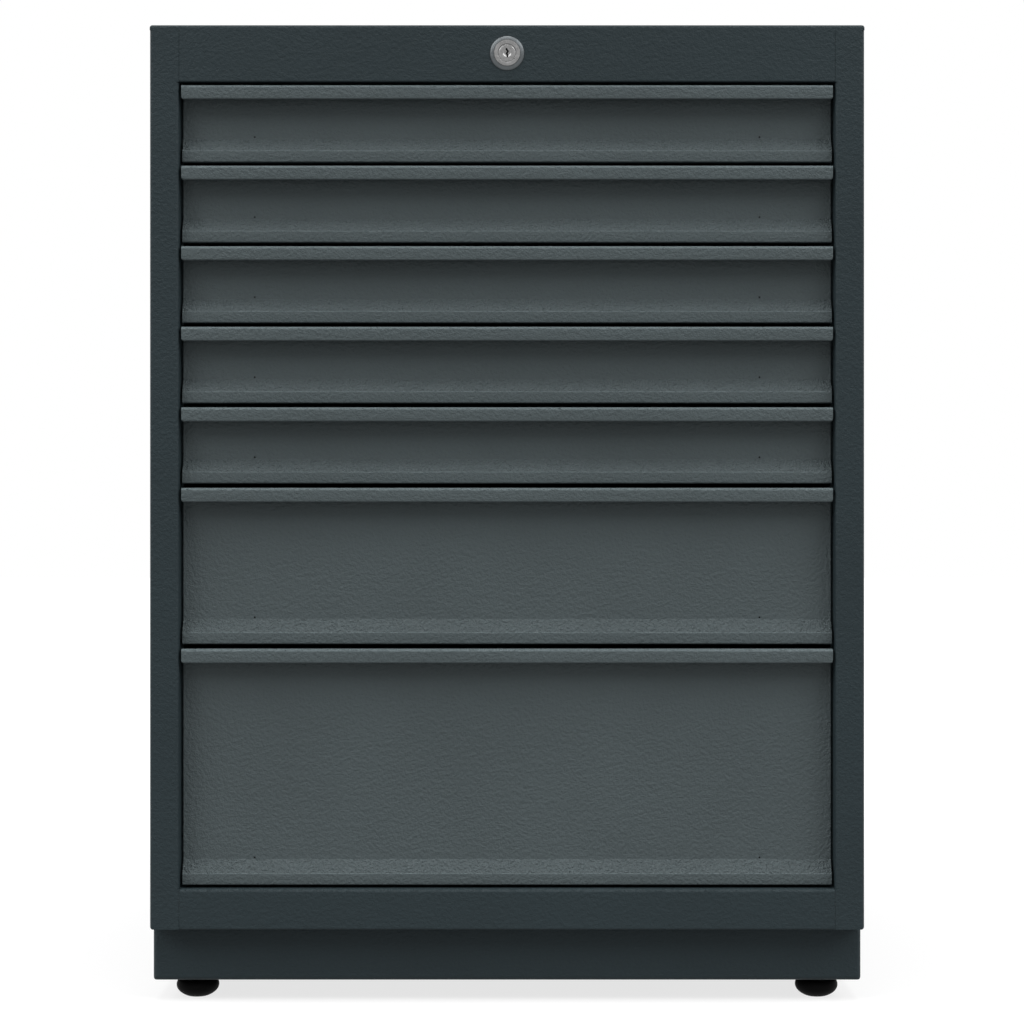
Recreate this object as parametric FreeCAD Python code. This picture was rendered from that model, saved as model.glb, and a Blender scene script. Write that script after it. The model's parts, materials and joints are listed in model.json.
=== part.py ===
import FreeCAD, Part
import math
import os

from FreeCAD import Placement, Rotation, Vector

# Drawer base cabinet: a folded steel housing on a plinth, with seven drawers on telescopic
# runners and one lock for all of them. Sizes are in millimetres.
# The front faces -Y, +X is to the right of someone who faces it, and +Z is up.
# The origin is on the floor, under the middle of the cabinet's bounding box.

# Housing
WIDTH = 665.0
DEPTH = 600.0  # from the front plane to the back, without the lock's rim
HOUSING_T = 1.2
HOUSING_BEND = 3.0  # outer radius of a fold
STILE = 27.1  # width of each front post
STILE_RETURN = 18.0  # how far a post's inner edge is folded back
STILE_LAND = 6.0  # flat front strip that belongs to the post's inner fold
TOP_SKIRT = 5.0  # height of the top panel's edge, where it meets the side panels
TOP_RAIL = 53.1
BOTTOM_RAIL = 37.6
RAIL_RETURN = 16.0
RAIL_LIP = 10.0
RAIL_BEND = 1.4  # tighter fold along the lower edge of each rail
REAR_RAIL = 20.0
SEAM = 0.3  # gap between panels that butt against each other
BACK_T = 1.0

# Worktop fixing holes in the top panel
FIXING_RADIUS = 3.5
FIXING_INSET_X = 82.5
FIXING_INSET_Y = 60.0

# Plinth and feet
PLINTH_HEIGHT = 51.5
PLINTH_SETBACK = 22.0
PLINTH_T = 2.0
PLINTH_BEND = 4.0
PLINTH_FLANGE = 25.0
FOOT_SHOWN = 20.0  # height of the plinth's underside over the floor
FOOT_INSET_X = 37.8
FOOT_INSET_Y = 33.0  # from the plinth's front and back
FOOT_RADIUS = 20.2
FOOT_HEIGHT = 16.0
STEM_RADIUS = 5.0
STEM_LENGTH = 43.0
STEM_PLAY = 0.08  # radial clearance of the stem in its nut
GUSSET_SIZE = 80.0
GUSSET_CORNER = 34.0
GUSSET_T = 3.0
NUT_FLATS = 8.5  # half of the width across the flats of a levelling nut
NUT_HEIGHT = 8.0

# Drawers, from the top one down
DRAWER_UNITS = (1, 1, 1, 1, 1, 2, 3)
UNIT = 75.0
FRONT_GAP = 4.1  # between one drawer front and the next
TOP_GAP = 2.8
BOTTOM_GAP = 2.6
SIDE_GAP = 2.25

# Drawer front, one folded sheet: depths are behind the front plane
FRONT_T = 1.2
LIP_HEIGHT = 13.3
LIP_HEM = 3.2  # thickness of the folded lower edge of the lip
HEM_HEIGHT = 8.0
FRONT_BEND = 1.2
LIP_BEND = 2.2  # fold along the upper edge of the lip
FACE_DEPTH = 16.0
STRIP_DEPTH = 8.0
STRIP_HEIGHT = 10.7
SLOPE_HEIGHT = 12.4
SLOPE_BEND = 3.0
STRIP_RETURN = 8.0
PIN_HOLE = 0.9  # half of the hole's width
PIN_HOLE_X = 236.5
PIN_HOLE_RISE = 1.6  # over the fold between the slope and the face

# Drawer tray
TRAY_T = 0.9
TRAY_LIFT = 8.0  # over the lower edge of the drawer front
TRAY_DROP = 8.0  # below its upper edge
TRAY_RIM = 7.0
TRAY_REAR_ROOM = 39.8  # between the tray and the back of the cabinet

# Telescopic runners. Depths are from the post towards the drawer.
UPRIGHT_T = 1.5
UPRIGHT_WIDTH = 40.0
UPRIGHT_HIDE = 1.4  # how far the uprights stand back behind the edge of the post
UPRIGHT_FRONT = 24.0
UPRIGHT_REAR = 120.0  # from the back of the cabinet
SLOT_WIDTH = 5.0
SLOT_HEIGHT = 14.0
RUNNER_THICKNESS = 12.7
RUNNER_SPARE = 43.0  # how much shorter than its tray a runner is
RUNNER_SETBACK = 10.0  # from the back of the drawer front
RUNNER_RISE = 27.5  # axis of the runner over the tray's underside
RUNNER_GAP = 0.6  # between one member's web and the next member
OUTER_HEIGHT = 45.0
OUTER_T = 1.2
OUTER_DEPTH = 10.0
OUTER_LIP = 2.6
MIDDLE_HEIGHT = 36.0
MIDDLE_T = 1.0
MIDDLE_DEPTH = 9.2
INNER_HEIGHT = 27.0
INNER_T = 1.2

# Lock cylinder
LOCK_DROP = 26.5  # axis below the top of the cabinet
LOCK_PROUD = 2.4
LOCK_RIM = 16.0
LOCK_FACE = 13.0
LOCK_BODY = 11.0
LOCK_LENGTH = 25.0
LOCK_PLAY = 0.05
LOCK_HOLE_GAP = 0.1
PLUG_RADIUS = 8.5
PLUG_SINK = 0.4  # behind the face of the lock
KEYWAY_HEIGHT = 8.6
KEYWAY_WIDTH = 1.3
KEYWAY_STEP = 1.1
KEYWAY_DEPTH = 14.0
RING_NUT_FLATS = 14.0
RING_NUT_HEIGHT = 4.0

# Lock rod and crank
ROD_RADIUS = 4.0
COLLAR_RADIUS = 6.5
COLLAR_LENGTH = 12.0
CRANK_REACH = 10.0
CRANK_T = 3.0
CRANK_HUB = 7.0
CRANK_EYE = 4.5
CRANK_PIN = 2.5
CRANK_TURN = 90.0  # degrees, half of it on each side of level
CRANK_GAP = 3.0  # between the crank and the bar
CRANK_PIN_END = 2.0  # how far the pin shows behind the bar
BEARING_T = 2.0
BEARING_WIDTH = 34.0
BEARING_BELOW = 12.0  # plate below the rod's axis
BEARING_FLANGE = 16.0
BEARING_BEND = 2.0
BEARING_AHEAD = 9.0  # from the crank

# Lock bar with its hooks, and the catches on the drawers
BAR_T = 2.5
BAR_BEND = 2.5
BAR_WIDTH = 36.0
BAR_LEG = 10.5
BAR_REAR_ROOM = 11.3  # between the bar and the back panel
BAR_FOOT = 14.0  # lower end over the cabinet's floor
BAR_HEAD = 12.0  # upper end over the crank pin
PIN_SLOT_PLAY = 0.6  # takes up the bow of the crank pin's path too
GUIDE_SHANK = 3.0  # half of the width of the part that runs in the slot
GUIDE_HEAD = 5.5  # half of the width of the head
GUIDE_HEAD_T = 2.0
GUIDE_PLAY = 0.3
GUIDES = 2
GUIDE_FOOT = 40.0  # lowest guide over the cabinet's floor
CATCH_DROP = 8.0  # below the rim of the tray
CATCH_FLANGE = 6.0  # flat on the tray's back
CATCH_REACH = 13.0
CATCH_LIP = 12.0
CATCH_WIDTH = 32.0
HOOK_T = 2.5
HOOK_PLAY = 2.8  # between a hook's tip and the tray
HOOK_TIP = 5.0
HOOK_RISE = 12.0
HOOK_ARM = 6.0
HOOK_HEADROOM = 1.3  # under the catch, when locked

# Places that follow from the sizes above
X_OUT = WIDTH / 2
X_IN = X_OUT - STILE
FRONT_Y = (LOCK_PROUD - DEPTH) / 2
BACK_Y = FRONT_Y + DEPTH
BODY_Z = FOOT_SHOWN + PLINTH_HEIGHT
FLOOR_Z = BODY_Z + BOTTOM_RAIL
OPENING_TOP = FLOOR_Z + BOTTOM_GAP + UNIT * sum(DRAWER_UNITS) - FRONT_GAP + TOP_GAP
TOP_Z = OPENING_TOP + TOP_RAIL
SIDE_TOP = TOP_Z - TOP_SKIRT
BACK_PANEL_Y = BACK_Y - HOUSING_T - BACK_T
PLINTH_FRONT = FRONT_Y + PLINTH_SETBACK
FRONT_X = X_IN - SIDE_GAP
UPRIGHT_X = X_IN - UPRIGHT_HIDE
TRAY_X = UPRIGHT_X - RUNNER_THICKNESS
TRAY_FRONT = FRONT_Y + FACE_DEPTH + FRONT_T
TRAY_BACK = BACK_Y - TRAY_REAR_ROOM
RUNNER_LENGTH = TRAY_BACK - TRAY_FRONT - RUNNER_SPARE
RUNNER_FRONT = TRAY_FRONT + RUNNER_SETBACK
LOCK_Z = TOP_Z - LOCK_DROP
BAR_BACK = BACK_PANEL_Y - BAR_REAR_ROOM
BAR_FRONT = BAR_BACK - BAR_T
CRANK_BACK = BAR_FRONT - CRANK_GAP
CRANK_FRONT = CRANK_BACK - CRANK_T
CRANK_PIN_DROP = CRANK_REACH * math.sin(math.radians(CRANK_TURN / 2))
BAR_TRAVEL = 2 * CRANK_PIN_DROP
HOOK_X = BAR_WIDTH / 2  # face of the bar's leg, which the hooks are welded to
CORNERS = ((-1, -1), (1, -1), (-1, 1), (1, 1))
PLINTH_CORNERS = ((-1, -1), (1, -1), (1, 1), (-1, 1))  # in order round the plinth

X_AXIS = Vector(1, 0, 0)
Y_AXIS = Vector(0, 1, 0)
Z_AXIS = Vector(0, 0, 1)

# Each drawing plane: the turn that lays XY onto it, and the axis to extrude along
PLANES = {
    "XY": (Rotation(), Z_AXIS),
    "YZ": (Rotation(Y_AXIS, Z_AXIS, X_AXIS), X_AXIS),
    "XZ": (Rotation(X_AXIS, Z_AXIS, Y_AXIS * -1), Y_AXIS),
}


def box(low, high):
    """Block between two opposite corners."""
    size = Vector(*high) - Vector(*low)
    return Part.makeBox(size.x, size.y, size.z, Vector(*low))


def rod_y(radius, x, z, start, end):
    """Round bar along Y."""
    return Part.makeCylinder(radius, end - start, Vector(x, start, z), Y_AXIS)


def rod_z(radius, x, y, start, end):
    """Round bar along Z."""
    return Part.makeCylinder(radius, end - start, Vector(x, y, start), Z_AXIS)


def fuse(first, *others):
    """One solid from pieces that share faces or volume."""
    return first.fuse(list(others)).removeSplitter()


def slot(first, last, radius, start, end):
    """Cutter along Y for a round-ended slot between two points of the XZ plane."""
    first = Vector(first[0], first[1], 0)
    last = Vector(last[0], last[1], 0)
    along = (last - first).normalize() * radius
    across = Z_AXIS.cross(along)
    edges = [
        Part.Arc(first + across, first - along, first - across).toShape(),
        Part.LineSegment(first - across, last - across).toShape(),
        Part.Arc(last - across, last + along, last + across).toShape(),
        Part.LineSegment(last + across, first + across).toShape(),
    ]
    return extruded(edges, "XZ", start, end)


def mirrored(shape):
    """The same shape on the other side of the cabinet's middle plane."""
    return shape.mirror(Vector(0, 0, 0), X_AXIS)


def rounded_path(points, radii):
    """Edges through the points, with an arc of the given radius at each corner, or none where it is zero."""
    edges = []
    start = points[0]
    for before, corner, after, radius in zip(points, points[1:], points[2:], radii):
        if not radius:
            edges.append(Part.LineSegment(start, corner).toShape())
            start = corner
            continue
        back = (before - corner).normalize()
        ahead = (after - corner).normalize()
        half = back.getAngle(ahead) / 2
        reach = radius / math.tan(half)
        inward = (back + ahead).normalize() * (radius / math.sin(half) - radius)
        edges.append(Part.LineSegment(start, corner + back * reach).toShape())
        arc = Part.Arc(corner + back * reach, corner + inward, corner + ahead * reach)
        edges.append(arc.toShape())
        start = corner + ahead * reach
    edges.append(Part.LineSegment(start, points[-1]).toShape())
    return edges


def parallel(points, distance):
    """The path moved to its left by a distance, with mitred corners."""
    moved = []
    for index, point in enumerate(points):
        legs = points[max(index - 1, 0):index + 2]
        normals = [Z_AXIS.cross(b - a).normalize() for a, b in zip(legs, legs[1:])]
        spread = 1 + normals[0].dot(normals[-1])
        moved.append(point + (normals[0] + normals[-1]) * (distance / spread))
    return moved


def extruded(edges, plane, start, end):
    """Solid between two positions along the plane's axis, from a closed outline drawn in XY."""
    turn, axis = PLANES[plane]
    face = Part.Face(Part.Wire(Part.__sortEdges__(edges)))
    face.Placement = Placement(axis * start, turn)
    return face.extrude(axis * (end - start))


def plate(points, plane, start, end):
    """Flat plate with straight edges."""
    corners = [Vector(a, b, 0) for a, b in points]
    return extruded(Part.makePolygon(corners + corners[:1]).Edges, plane, start, end)


def folded_sheet(points, thickness, bends, plane, start, end):
    """Folded sheet to the left of a path. Each fold has an outer radius, and its inside stays square."""
    right = [Vector(a, b, 0) for a, b in points]
    left = parallel(right, thickness)
    right_radii = []
    left_radii = []
    for before, corner, after, bend in zip(right, right[1:], right[2:], bends):
        turns_left = (corner - before).cross(after - corner).z > 0
        right_radii.append(bend * turns_left)
        left_radii.append(bend * (not turns_left))
    edges = rounded_path(right, right_radii) + rounded_path(left, left_radii)
    edges.append(Part.LineSegment(right[0], left[0]).toShape())
    edges.append(Part.LineSegment(right[-1], left[-1]).toShape())
    return extruded(edges, plane, start, end)


def rounded_box(low, high, radius, chosen):
    """Block with a radius on the edges whose middle point the test accepts."""
    block = box(low, high)
    edges = [edge for edge in block.Edges if chosen(edge.CenterOfMass)]
    return block.makeFillet(radius, edges)


def hexagon(flats, plane, x, y, start, end):
    """Six-sided prism, with half its width across flats."""
    corner = flats / math.cos(math.pi / 6)
    turns = [math.radians(60 * side) for side in range(6)]
    points = [(x + corner * math.cos(turn), y + corner * math.sin(turn)) for turn in turns]
    return plate(points, plane, start, end)


def drawer_levels():
    """Lower and upper edge of each drawer front, from the top drawer down."""
    levels = []
    upper = OPENING_TOP - TOP_GAP
    for units in DRAWER_UNITS:
        pitch = units * UNIT
        levels.append((upper - pitch + FRONT_GAP, upper))
        upper -= pitch
    return levels


def runner_height(lower):
    """Height of the runner's axis, from the lower edge of its drawer front."""
    return lower + TRAY_LIFT + RUNNER_RISE


def catch_height(upper):
    """Height of a catch's upper face, from the upper edge of its drawer front."""
    return upper - TRAY_DROP - CATCH_DROP


def right_side_panel():
    """Side wall with its front post, rear flange and bottom flange folded from one sheet."""
    def folded_edge(middle):
        return abs(middle.x - X_OUT) < HOUSING_T and middle.z < SIDE_TOP

    flange_x = X_IN + STILE_LAND
    outside = rounded_box((flange_x, FRONT_Y, BODY_Z), (X_OUT, BACK_Y, SIDE_TOP), HOUSING_BEND, folded_edge)
    inside = box(
        (flange_x, FRONT_Y + HOUSING_T, BODY_Z + HOUSING_T),
        (X_OUT - HOUSING_T, BACK_Y - HOUSING_T, SIDE_TOP),
    )
    fold = folded_sheet(
        [(X_IN, FRONT_Y + STILE_RETURN), (X_IN, FRONT_Y), (flange_x, FRONT_Y)],
        HOUSING_T, [HOUSING_BEND], "XY", FLOOR_Z, OPENING_TOP,
    )
    land_back = FRONT_Y + HOUSING_T
    lower_land = box((X_IN, FRONT_Y, BODY_Z), (flange_x, land_back, FLOOR_Z))
    upper_land = box((X_IN, FRONT_Y, OPENING_TOP), (flange_x, land_back, SIDE_TOP))
    return fuse(outside.cut(inside), fold, lower_land, upper_land)


def top_panel():
    """Top with a skirt all round, the front rail under it and a short rear rail."""
    def rounded_edge(middle):
        return middle.z > TOP_Z - HOUSING_T

    outside = rounded_box((-X_OUT, FRONT_Y, SIDE_TOP), (X_OUT, BACK_Y, TOP_Z), HOUSING_BEND, rounded_edge)
    inner_x = X_OUT - HOUSING_T
    inside = box(
        (-inner_x, FRONT_Y + HOUSING_T, SIDE_TOP),
        (inner_x, BACK_Y - HOUSING_T, TOP_Z - HOUSING_T),
    )
    rail_x = X_IN - SEAM
    rail_back = FRONT_Y + RAIL_RETURN
    rail = folded_sheet(
        [(FRONT_Y, SIDE_TOP), (FRONT_Y, OPENING_TOP), (rail_back, OPENING_TOP), (rail_back, OPENING_TOP + RAIL_LIP)],
        HOUSING_T, [RAIL_BEND] * 2, "YZ", -rail_x, rail_x,
    )
    rear_x = X_IN + STILE_LAND - SEAM
    rear_rail = box((-rear_x, BACK_Y - HOUSING_T, TOP_Z - REAR_RAIL), (rear_x, BACK_Y, SIDE_TOP))
    panel = fuse(outside.cut(inside), rail, rear_rail)
    panel = panel.cut(lock_hole())
    for side_x, side_y in CORNERS:
        x = side_x * (X_OUT - FIXING_INSET_X)
        y = (FRONT_Y + BACK_Y) / 2 + side_y * (DEPTH / 2 - FIXING_INSET_Y)
        panel = panel.cut(rod_z(FIXING_RADIUS, x, y, TOP_Z - TOP_SKIRT, TOP_Z))
    return panel


def lock_hole():
    """Hole for the lock in the front rail."""
    return rod_y(LOCK_BODY + LOCK_HOLE_GAP, 0, LOCK_Z, FRONT_Y, FRONT_Y + HOUSING_T)


def base_panel():
    """Floor of the cabinet, with the front rail and a rear flange folded down from it."""
    wide = X_OUT - HOUSING_T - SEAM
    rail_x = X_IN - SEAM
    sheet = folded_sheet(
        [
            (BACK_PANEL_Y, FLOOR_Z - REAR_RAIL),
            (BACK_PANEL_Y, FLOOR_Z),
            (FRONT_Y, FLOOR_Z),
            (FRONT_Y, BODY_Z),
            (FRONT_Y + RAIL_RETURN, BODY_Z),
        ],
        HOUSING_T, [HOUSING_BEND, HOUSING_BEND, RAIL_BEND], "YZ", -wide, wide,
    )
    notch_back = FRONT_Y + STILE_RETURN + SEAM
    notch = box((rail_x, FRONT_Y - SEAM, BODY_Z - SEAM), (wide + SEAM, notch_back, FLOOR_Z + SEAM))
    return sheet.cut(notch).cut(mirrored(notch))


def back_panel():
    """Flat sheet inside the rear flanges."""
    side = X_OUT - HOUSING_T - SEAM
    lower = BODY_Z + HOUSING_T + SEAM
    upper = TOP_Z - HOUSING_T - SEAM
    return box((-side, BACK_PANEL_Y, lower), (side, BACK_PANEL_Y + BACK_T, upper))


def plinth_frame():
    """Four folded channels, mitred and welded to a ring that is set back at the front."""
    def upright_edge(middle):
        return FOOT_SHOWN + PLINTH_T < middle.z < BODY_Z - PLINTH_T

    def lower_side_edge(middle):
        return middle.z < FOOT_SHOWN + PLINTH_T and abs(middle.x) > PLINTH_T

    def lower_end_edge(middle):
        return middle.z < FOOT_SHOWN + PLINTH_T and abs(middle.x) < PLINTH_T

    low = (-X_OUT, PLINTH_FRONT, FOOT_SHOWN)
    high = (X_OUT, BACK_Y, BODY_Z)
    outside = rounded_box(low, high, PLINTH_BEND, upright_edge)
    for edges in (lower_side_edge, lower_end_edge):
        outside = outside.common(rounded_box(low, high, PLINTH_BEND, edges))
    inner_x = X_OUT - PLINTH_T
    inside = box(
        (-inner_x, PLINTH_FRONT + PLINTH_T, FOOT_SHOWN + PLINTH_T),
        (inner_x, BACK_Y - PLINTH_T, BODY_Z - PLINTH_T),
    )
    ring = outside.cut(inside)
    middle_y = (PLINTH_FRONT + BACK_Y) / 2
    half_depth = (BACK_Y - PLINTH_FRONT) / 2
    corners = [(x * X_OUT, middle_y + y * half_depth) for x, y in PLINTH_CORNERS]
    mitres = [
        (x * (X_OUT - PLINTH_FLANGE), middle_y + y * (half_depth - PLINTH_FLANGE)) for x, y in PLINTH_CORNERS]
    sides = []
    for first, second in ((0, 1), (1, 2), (2, 3), (3, 0)):
        outline = [corners[first], corners[second], mitres[second], mitres[first]]
        sides.append(ring.common(plate(outline, "XY", FOOT_SHOWN, BODY_Z)))
    return Part.makeCompound(sides)


def foot_place(side_x, side_y):
    """X and Y of a foot, where each side is -1 or 1."""
    depth = BACK_Y - PLINTH_FRONT
    middle = (BACK_Y + PLINTH_FRONT) / 2
    return side_x * (X_OUT - FOOT_INSET_X), middle + side_y * (depth / 2 - FOOT_INSET_Y)


def foot_gussets():
    """Corner plates on the plinth's lower flange, each with the welded nut of its foot."""
    gussets = []
    lower = FOOT_SHOWN + PLINTH_T
    upper = lower + GUSSET_T
    inset = PLINTH_T + SEAM
    for side_x, side_y in CORNERS:
        corner_x = side_x * (X_OUT - inset)
        corner_y = PLINTH_FRONT + inset if side_y < 0 else BACK_Y - inset
        outline = [
            (corner_x, corner_y),
            (corner_x - side_x * GUSSET_SIZE, corner_y),
            (corner_x - side_x * GUSSET_SIZE, corner_y - side_y * GUSSET_CORNER),
            (corner_x - side_x * GUSSET_CORNER, corner_y - side_y * GUSSET_SIZE),
            (corner_x, corner_y - side_y * GUSSET_SIZE),
        ]
        x, y = foot_place(side_x, side_y)
        nut = hexagon(NUT_FLATS, "XY", x, y, upper, upper + NUT_HEIGHT)
        bore = rod_z(STEM_RADIUS + STEM_PLAY, x, y, lower, upper + NUT_HEIGHT)
        gussets.append(fuse(plate(outline, "XY", lower, upper), nut).cut(bore))
    return Part.makeCompound(gussets)


def foot_pad(side_x, side_y):
    """Round pad on the floor."""
    x, y = foot_place(side_x, side_y)
    return rod_z(FOOT_RADIUS, x, y, 0, FOOT_HEIGHT)


def foot_stem(side_x, side_y):
    """Stem that screws through its nut; its thread is left plain."""
    x, y = foot_place(side_x, side_y)
    return rod_z(STEM_RADIUS, x, y, FOOT_HEIGHT, FOOT_HEIGHT + STEM_LENGTH)


def right_upright(front):
    """Channel that carries the runners, with a hanging slot in its web for each unit of drawer height."""
    back = front + UPRIGHT_WIDTH
    wall = X_OUT - HOUSING_T
    upper = SIDE_TOP
    channel = folded_sheet(
        [(wall, back), (UPRIGHT_X, back), (UPRIGHT_X, front), (wall, front)],
        UPRIGHT_T, [0, 0], "XY", FLOOR_Z, upper,
    )
    slots = []
    middle = (front + back) / 2
    for level in range(sum(DRAWER_UNITS)):
        height = runner_height(FLOOR_Z + BOTTOM_GAP + UNIT * level)
        slots.append(box(
            (UPRIGHT_X, middle - SLOT_WIDTH / 2, height - SLOT_HEIGHT / 2),
            (UPRIGHT_X + UPRIGHT_T, middle + SLOT_WIDTH / 2, height + SLOT_HEIGHT / 2),
        ))
    return channel.cut(Part.makeCompound(slots))


def right_outer_member(height):
    """Cabinet side of a runner: a channel with lips, open towards the drawer."""
    back = UPRIGHT_X
    tip = back - OUTER_DEPTH
    half = OUTER_HEIGHT / 2
    section = [
        (tip, height - half + OUTER_LIP),
        (tip, height - half),
        (back, height - half),
        (back, height + half),
        (tip, height + half),
        (tip, height + half - OUTER_LIP),
    ]
    return folded_sheet(
        section, OUTER_T, [0] * 4, "XZ", RUNNER_FRONT, RUNNER_FRONT + RUNNER_LENGTH)


def right_middle_member(height):
    """Middle of a runner: a channel between the cabinet's member and the drawer's."""
    back = UPRIGHT_X - OUTER_T - RUNNER_GAP
    tip = back - MIDDLE_DEPTH
    half = MIDDLE_HEIGHT / 2
    section = [(tip, height - half), (back, height - half), (back, height + half), (tip, height + half)]
    return folded_sheet(
        section, MIDDLE_T, [0] * 2, "XZ", RUNNER_FRONT, RUNNER_FRONT + RUNNER_LENGTH)


def right_inner_member(height):
    """Drawer side of a runner: a channel on the tray, open towards the cabinet."""
    back = TRAY_X
    tip = UPRIGHT_X - OUTER_T - RUNNER_GAP - MIDDLE_T - RUNNER_GAP
    half = INNER_HEIGHT / 2
    section = [(tip, height + half), (back, height + half), (back, height - half), (tip, height - half)]
    return folded_sheet(
        section, INNER_T, [0] * 2, "XZ", RUNNER_FRONT, RUNNER_FRONT + RUNNER_LENGTH)


def pair(shape):
    """The shape and its mirror image, as two solids."""
    return Part.makeCompound([mirrored(shape), shape])


def drawer_front(lower, upper):
    """Front with its grip lip, recessed face, slope and lower strip, folded from one sheet."""
    t = FRONT_T
    face = FRONT_Y + FACE_DEPTH
    strip = FRONT_Y + STRIP_DEPTH
    lip_front = FRONT_Y + t
    lip_back = FRONT_Y + LIP_HEM - t
    lip_lower = upper - LIP_HEIGHT
    slope_lower = lower + STRIP_HEIGHT
    slope_upper = slope_lower + SLOPE_HEIGHT
    section = [
        (lip_back, lip_lower + HEM_HEIGHT),
        (lip_back, lip_lower + t),
        (lip_front, lip_lower + t),
        (lip_front, upper - t),
        (face, upper - t),
        (face, slope_upper),
        (strip, slope_lower),
        (strip, lower),
        (strip + STRIP_RETURN, lower),
    ]
    bends = [0, FRONT_BEND, LIP_BEND, 0, 0, SLOPE_BEND, 0]
    front = folded_sheet(section, t, bends, "YZ", -FRONT_X, FRONT_X)
    for x in (-PIN_HOLE_X, PIN_HOLE_X):
        front = front.cut(hexagon(PIN_HOLE, "XZ", x, slope_upper + PIN_HOLE_RISE, face, face + t))
    return front


def drawer_tray(lower, upper):
    """Open tray: a folded body, a front and a back wall welded into it, and the catch for the lock bar."""
    t = TRAY_T
    floor = lower + TRAY_LIFT
    rim = upper - TRAY_DROP
    section = [
        (TRAY_RIM - TRAY_X, rim),
        (-TRAY_X, rim),
        (-TRAY_X, floor),
        (TRAY_X, floor),
        (TRAY_X, rim),
        (TRAY_X - TRAY_RIM, rim),
    ]
    body = folded_sheet(section, t, [0] * 4, "XZ", TRAY_FRONT, TRAY_BACK)
    inner_x = TRAY_X - t
    front_section = [(TRAY_FRONT + TRAY_RIM, rim), (TRAY_FRONT, rim), (TRAY_FRONT, floor + t)]
    back_section = [(TRAY_BACK, floor + t), (TRAY_BACK, rim), (TRAY_BACK - TRAY_RIM, rim)]
    walls = [
        folded_sheet(wall, t, [0], "YZ", -inner_x, inner_x).cut(body) for wall in (front_section, back_section)]
    return Part.makeCompound([body, *walls, catch(upper)])


def catch(upper):
    """Bracket behind a tray, whose lip hangs behind the tip of the hook when the bar is up."""
    top = catch_height(upper)
    reach = TRAY_BACK + CATCH_REACH
    section = [
        (TRAY_BACK, top + CATCH_FLANGE - TRAY_T),
        (TRAY_BACK, top - TRAY_T),
        (reach - TRAY_T, top - TRAY_T),
        (reach - TRAY_T, top - CATCH_LIP),
    ]
    middle = HOOK_X + HOOK_T / 2
    return folded_sheet(
        section, TRAY_T, [0, 0], "YZ", middle - CATCH_WIDTH / 2, middle + CATCH_WIDTH / 2)


def lock_housing():
    """Lock body with its bevelled rim, bored for the plug."""
    rim_front = FRONT_Y - LOCK_PROUD
    bore = PLUG_RADIUS + LOCK_PLAY
    back = FRONT_Y + LOCK_LENGTH
    profile = [
        (bore, rim_front),
        (LOCK_FACE, rim_front),
        (LOCK_RIM, FRONT_Y),
        (LOCK_BODY, FRONT_Y),
        (LOCK_BODY, back),
        (bore, back),
    ]
    corners = [Vector(radius, y, LOCK_Z) for radius, y in profile]
    face = Part.Face(Part.makePolygon(corners + corners[:1]))
    return face.revolve(Vector(0, 0, LOCK_Z), Y_AXIS, 360)


def lock_nut():
    """Hexagon nut that clamps the lock to the rail."""
    start = FRONT_Y + HOUSING_T
    nut = hexagon(RING_NUT_FLATS, "XZ", 0, LOCK_Z, start, start + RING_NUT_HEIGHT)
    return nut.cut(rod_y(LOCK_BODY + LOCK_PLAY, 0, LOCK_Z, start, start + RING_NUT_HEIGHT))


def lock_plug():
    """Round plug with a stepped keyway."""
    front = FRONT_Y - LOCK_PROUD + PLUG_SINK
    plug = rod_y(PLUG_RADIUS, 0, LOCK_Z, front, FRONT_Y + LOCK_LENGTH)
    half = KEYWAY_WIDTH / 2
    step = KEYWAY_STEP / 2
    upper = LOCK_Z + KEYWAY_HEIGHT / 2
    lower = LOCK_Z - KEYWAY_HEIGHT / 2
    keyway = [
        (-half, upper),
        (half, upper),
        (half, LOCK_Z + 2 * step),
        (half + step, LOCK_Z),
        (half, LOCK_Z - 2 * step),
        (half, lower),
        (-half, lower),
        (-half, LOCK_Z - step),
        (half - step, LOCK_Z),
        (-half, LOCK_Z + step),
    ]
    return plug.cut(plate(keyway, "XZ", front, front + KEYWAY_DEPTH))


def lock_rod():
    """Rod from the plug's collar to the crank at the back."""
    start = FRONT_Y + LOCK_LENGTH
    collar = rod_y(COLLAR_RADIUS, 0, LOCK_Z, start, start + COLLAR_LENGTH)
    return fuse(collar, rod_y(ROD_RADIUS, 0, LOCK_Z, start, CRANK_FRONT))


def lock_crank():
    """Crank welded to the end of the rod, whose pin lifts the lock bar."""
    turn = math.radians(CRANK_TURN / 2)
    along = Vector(-math.cos(turn), 0, -math.sin(turn))
    across = Y_AXIS.cross(along)
    hub = Vector(0, CRANK_FRONT, LOCK_Z)
    eye = hub + along * CRANK_REACH
    lean = math.asin((CRANK_HUB - CRANK_EYE) / CRANK_REACH)
    side = across * math.cos(lean) + along * math.sin(lean)
    other = across * -math.cos(lean) + along * math.sin(lean)
    edges = [
        Part.Arc(hub + side * CRANK_HUB, hub - along * CRANK_HUB, hub + other * CRANK_HUB).toShape(),
        Part.LineSegment(hub + other * CRANK_HUB, eye + other * CRANK_EYE).toShape(),
        Part.Arc(eye + other * CRANK_EYE, eye + along * CRANK_EYE, eye + side * CRANK_EYE).toShape(),
        Part.LineSegment(eye + side * CRANK_EYE, hub + side * CRANK_HUB).toShape(),
    ]
    arm = Part.Face(Part.Wire(edges)).extrude(Y_AXIS * CRANK_T)
    pin = rod_y(CRANK_PIN, eye.x, eye.z, CRANK_BACK, BAR_BACK + CRANK_PIN_END)
    return fuse(arm, pin)


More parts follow.
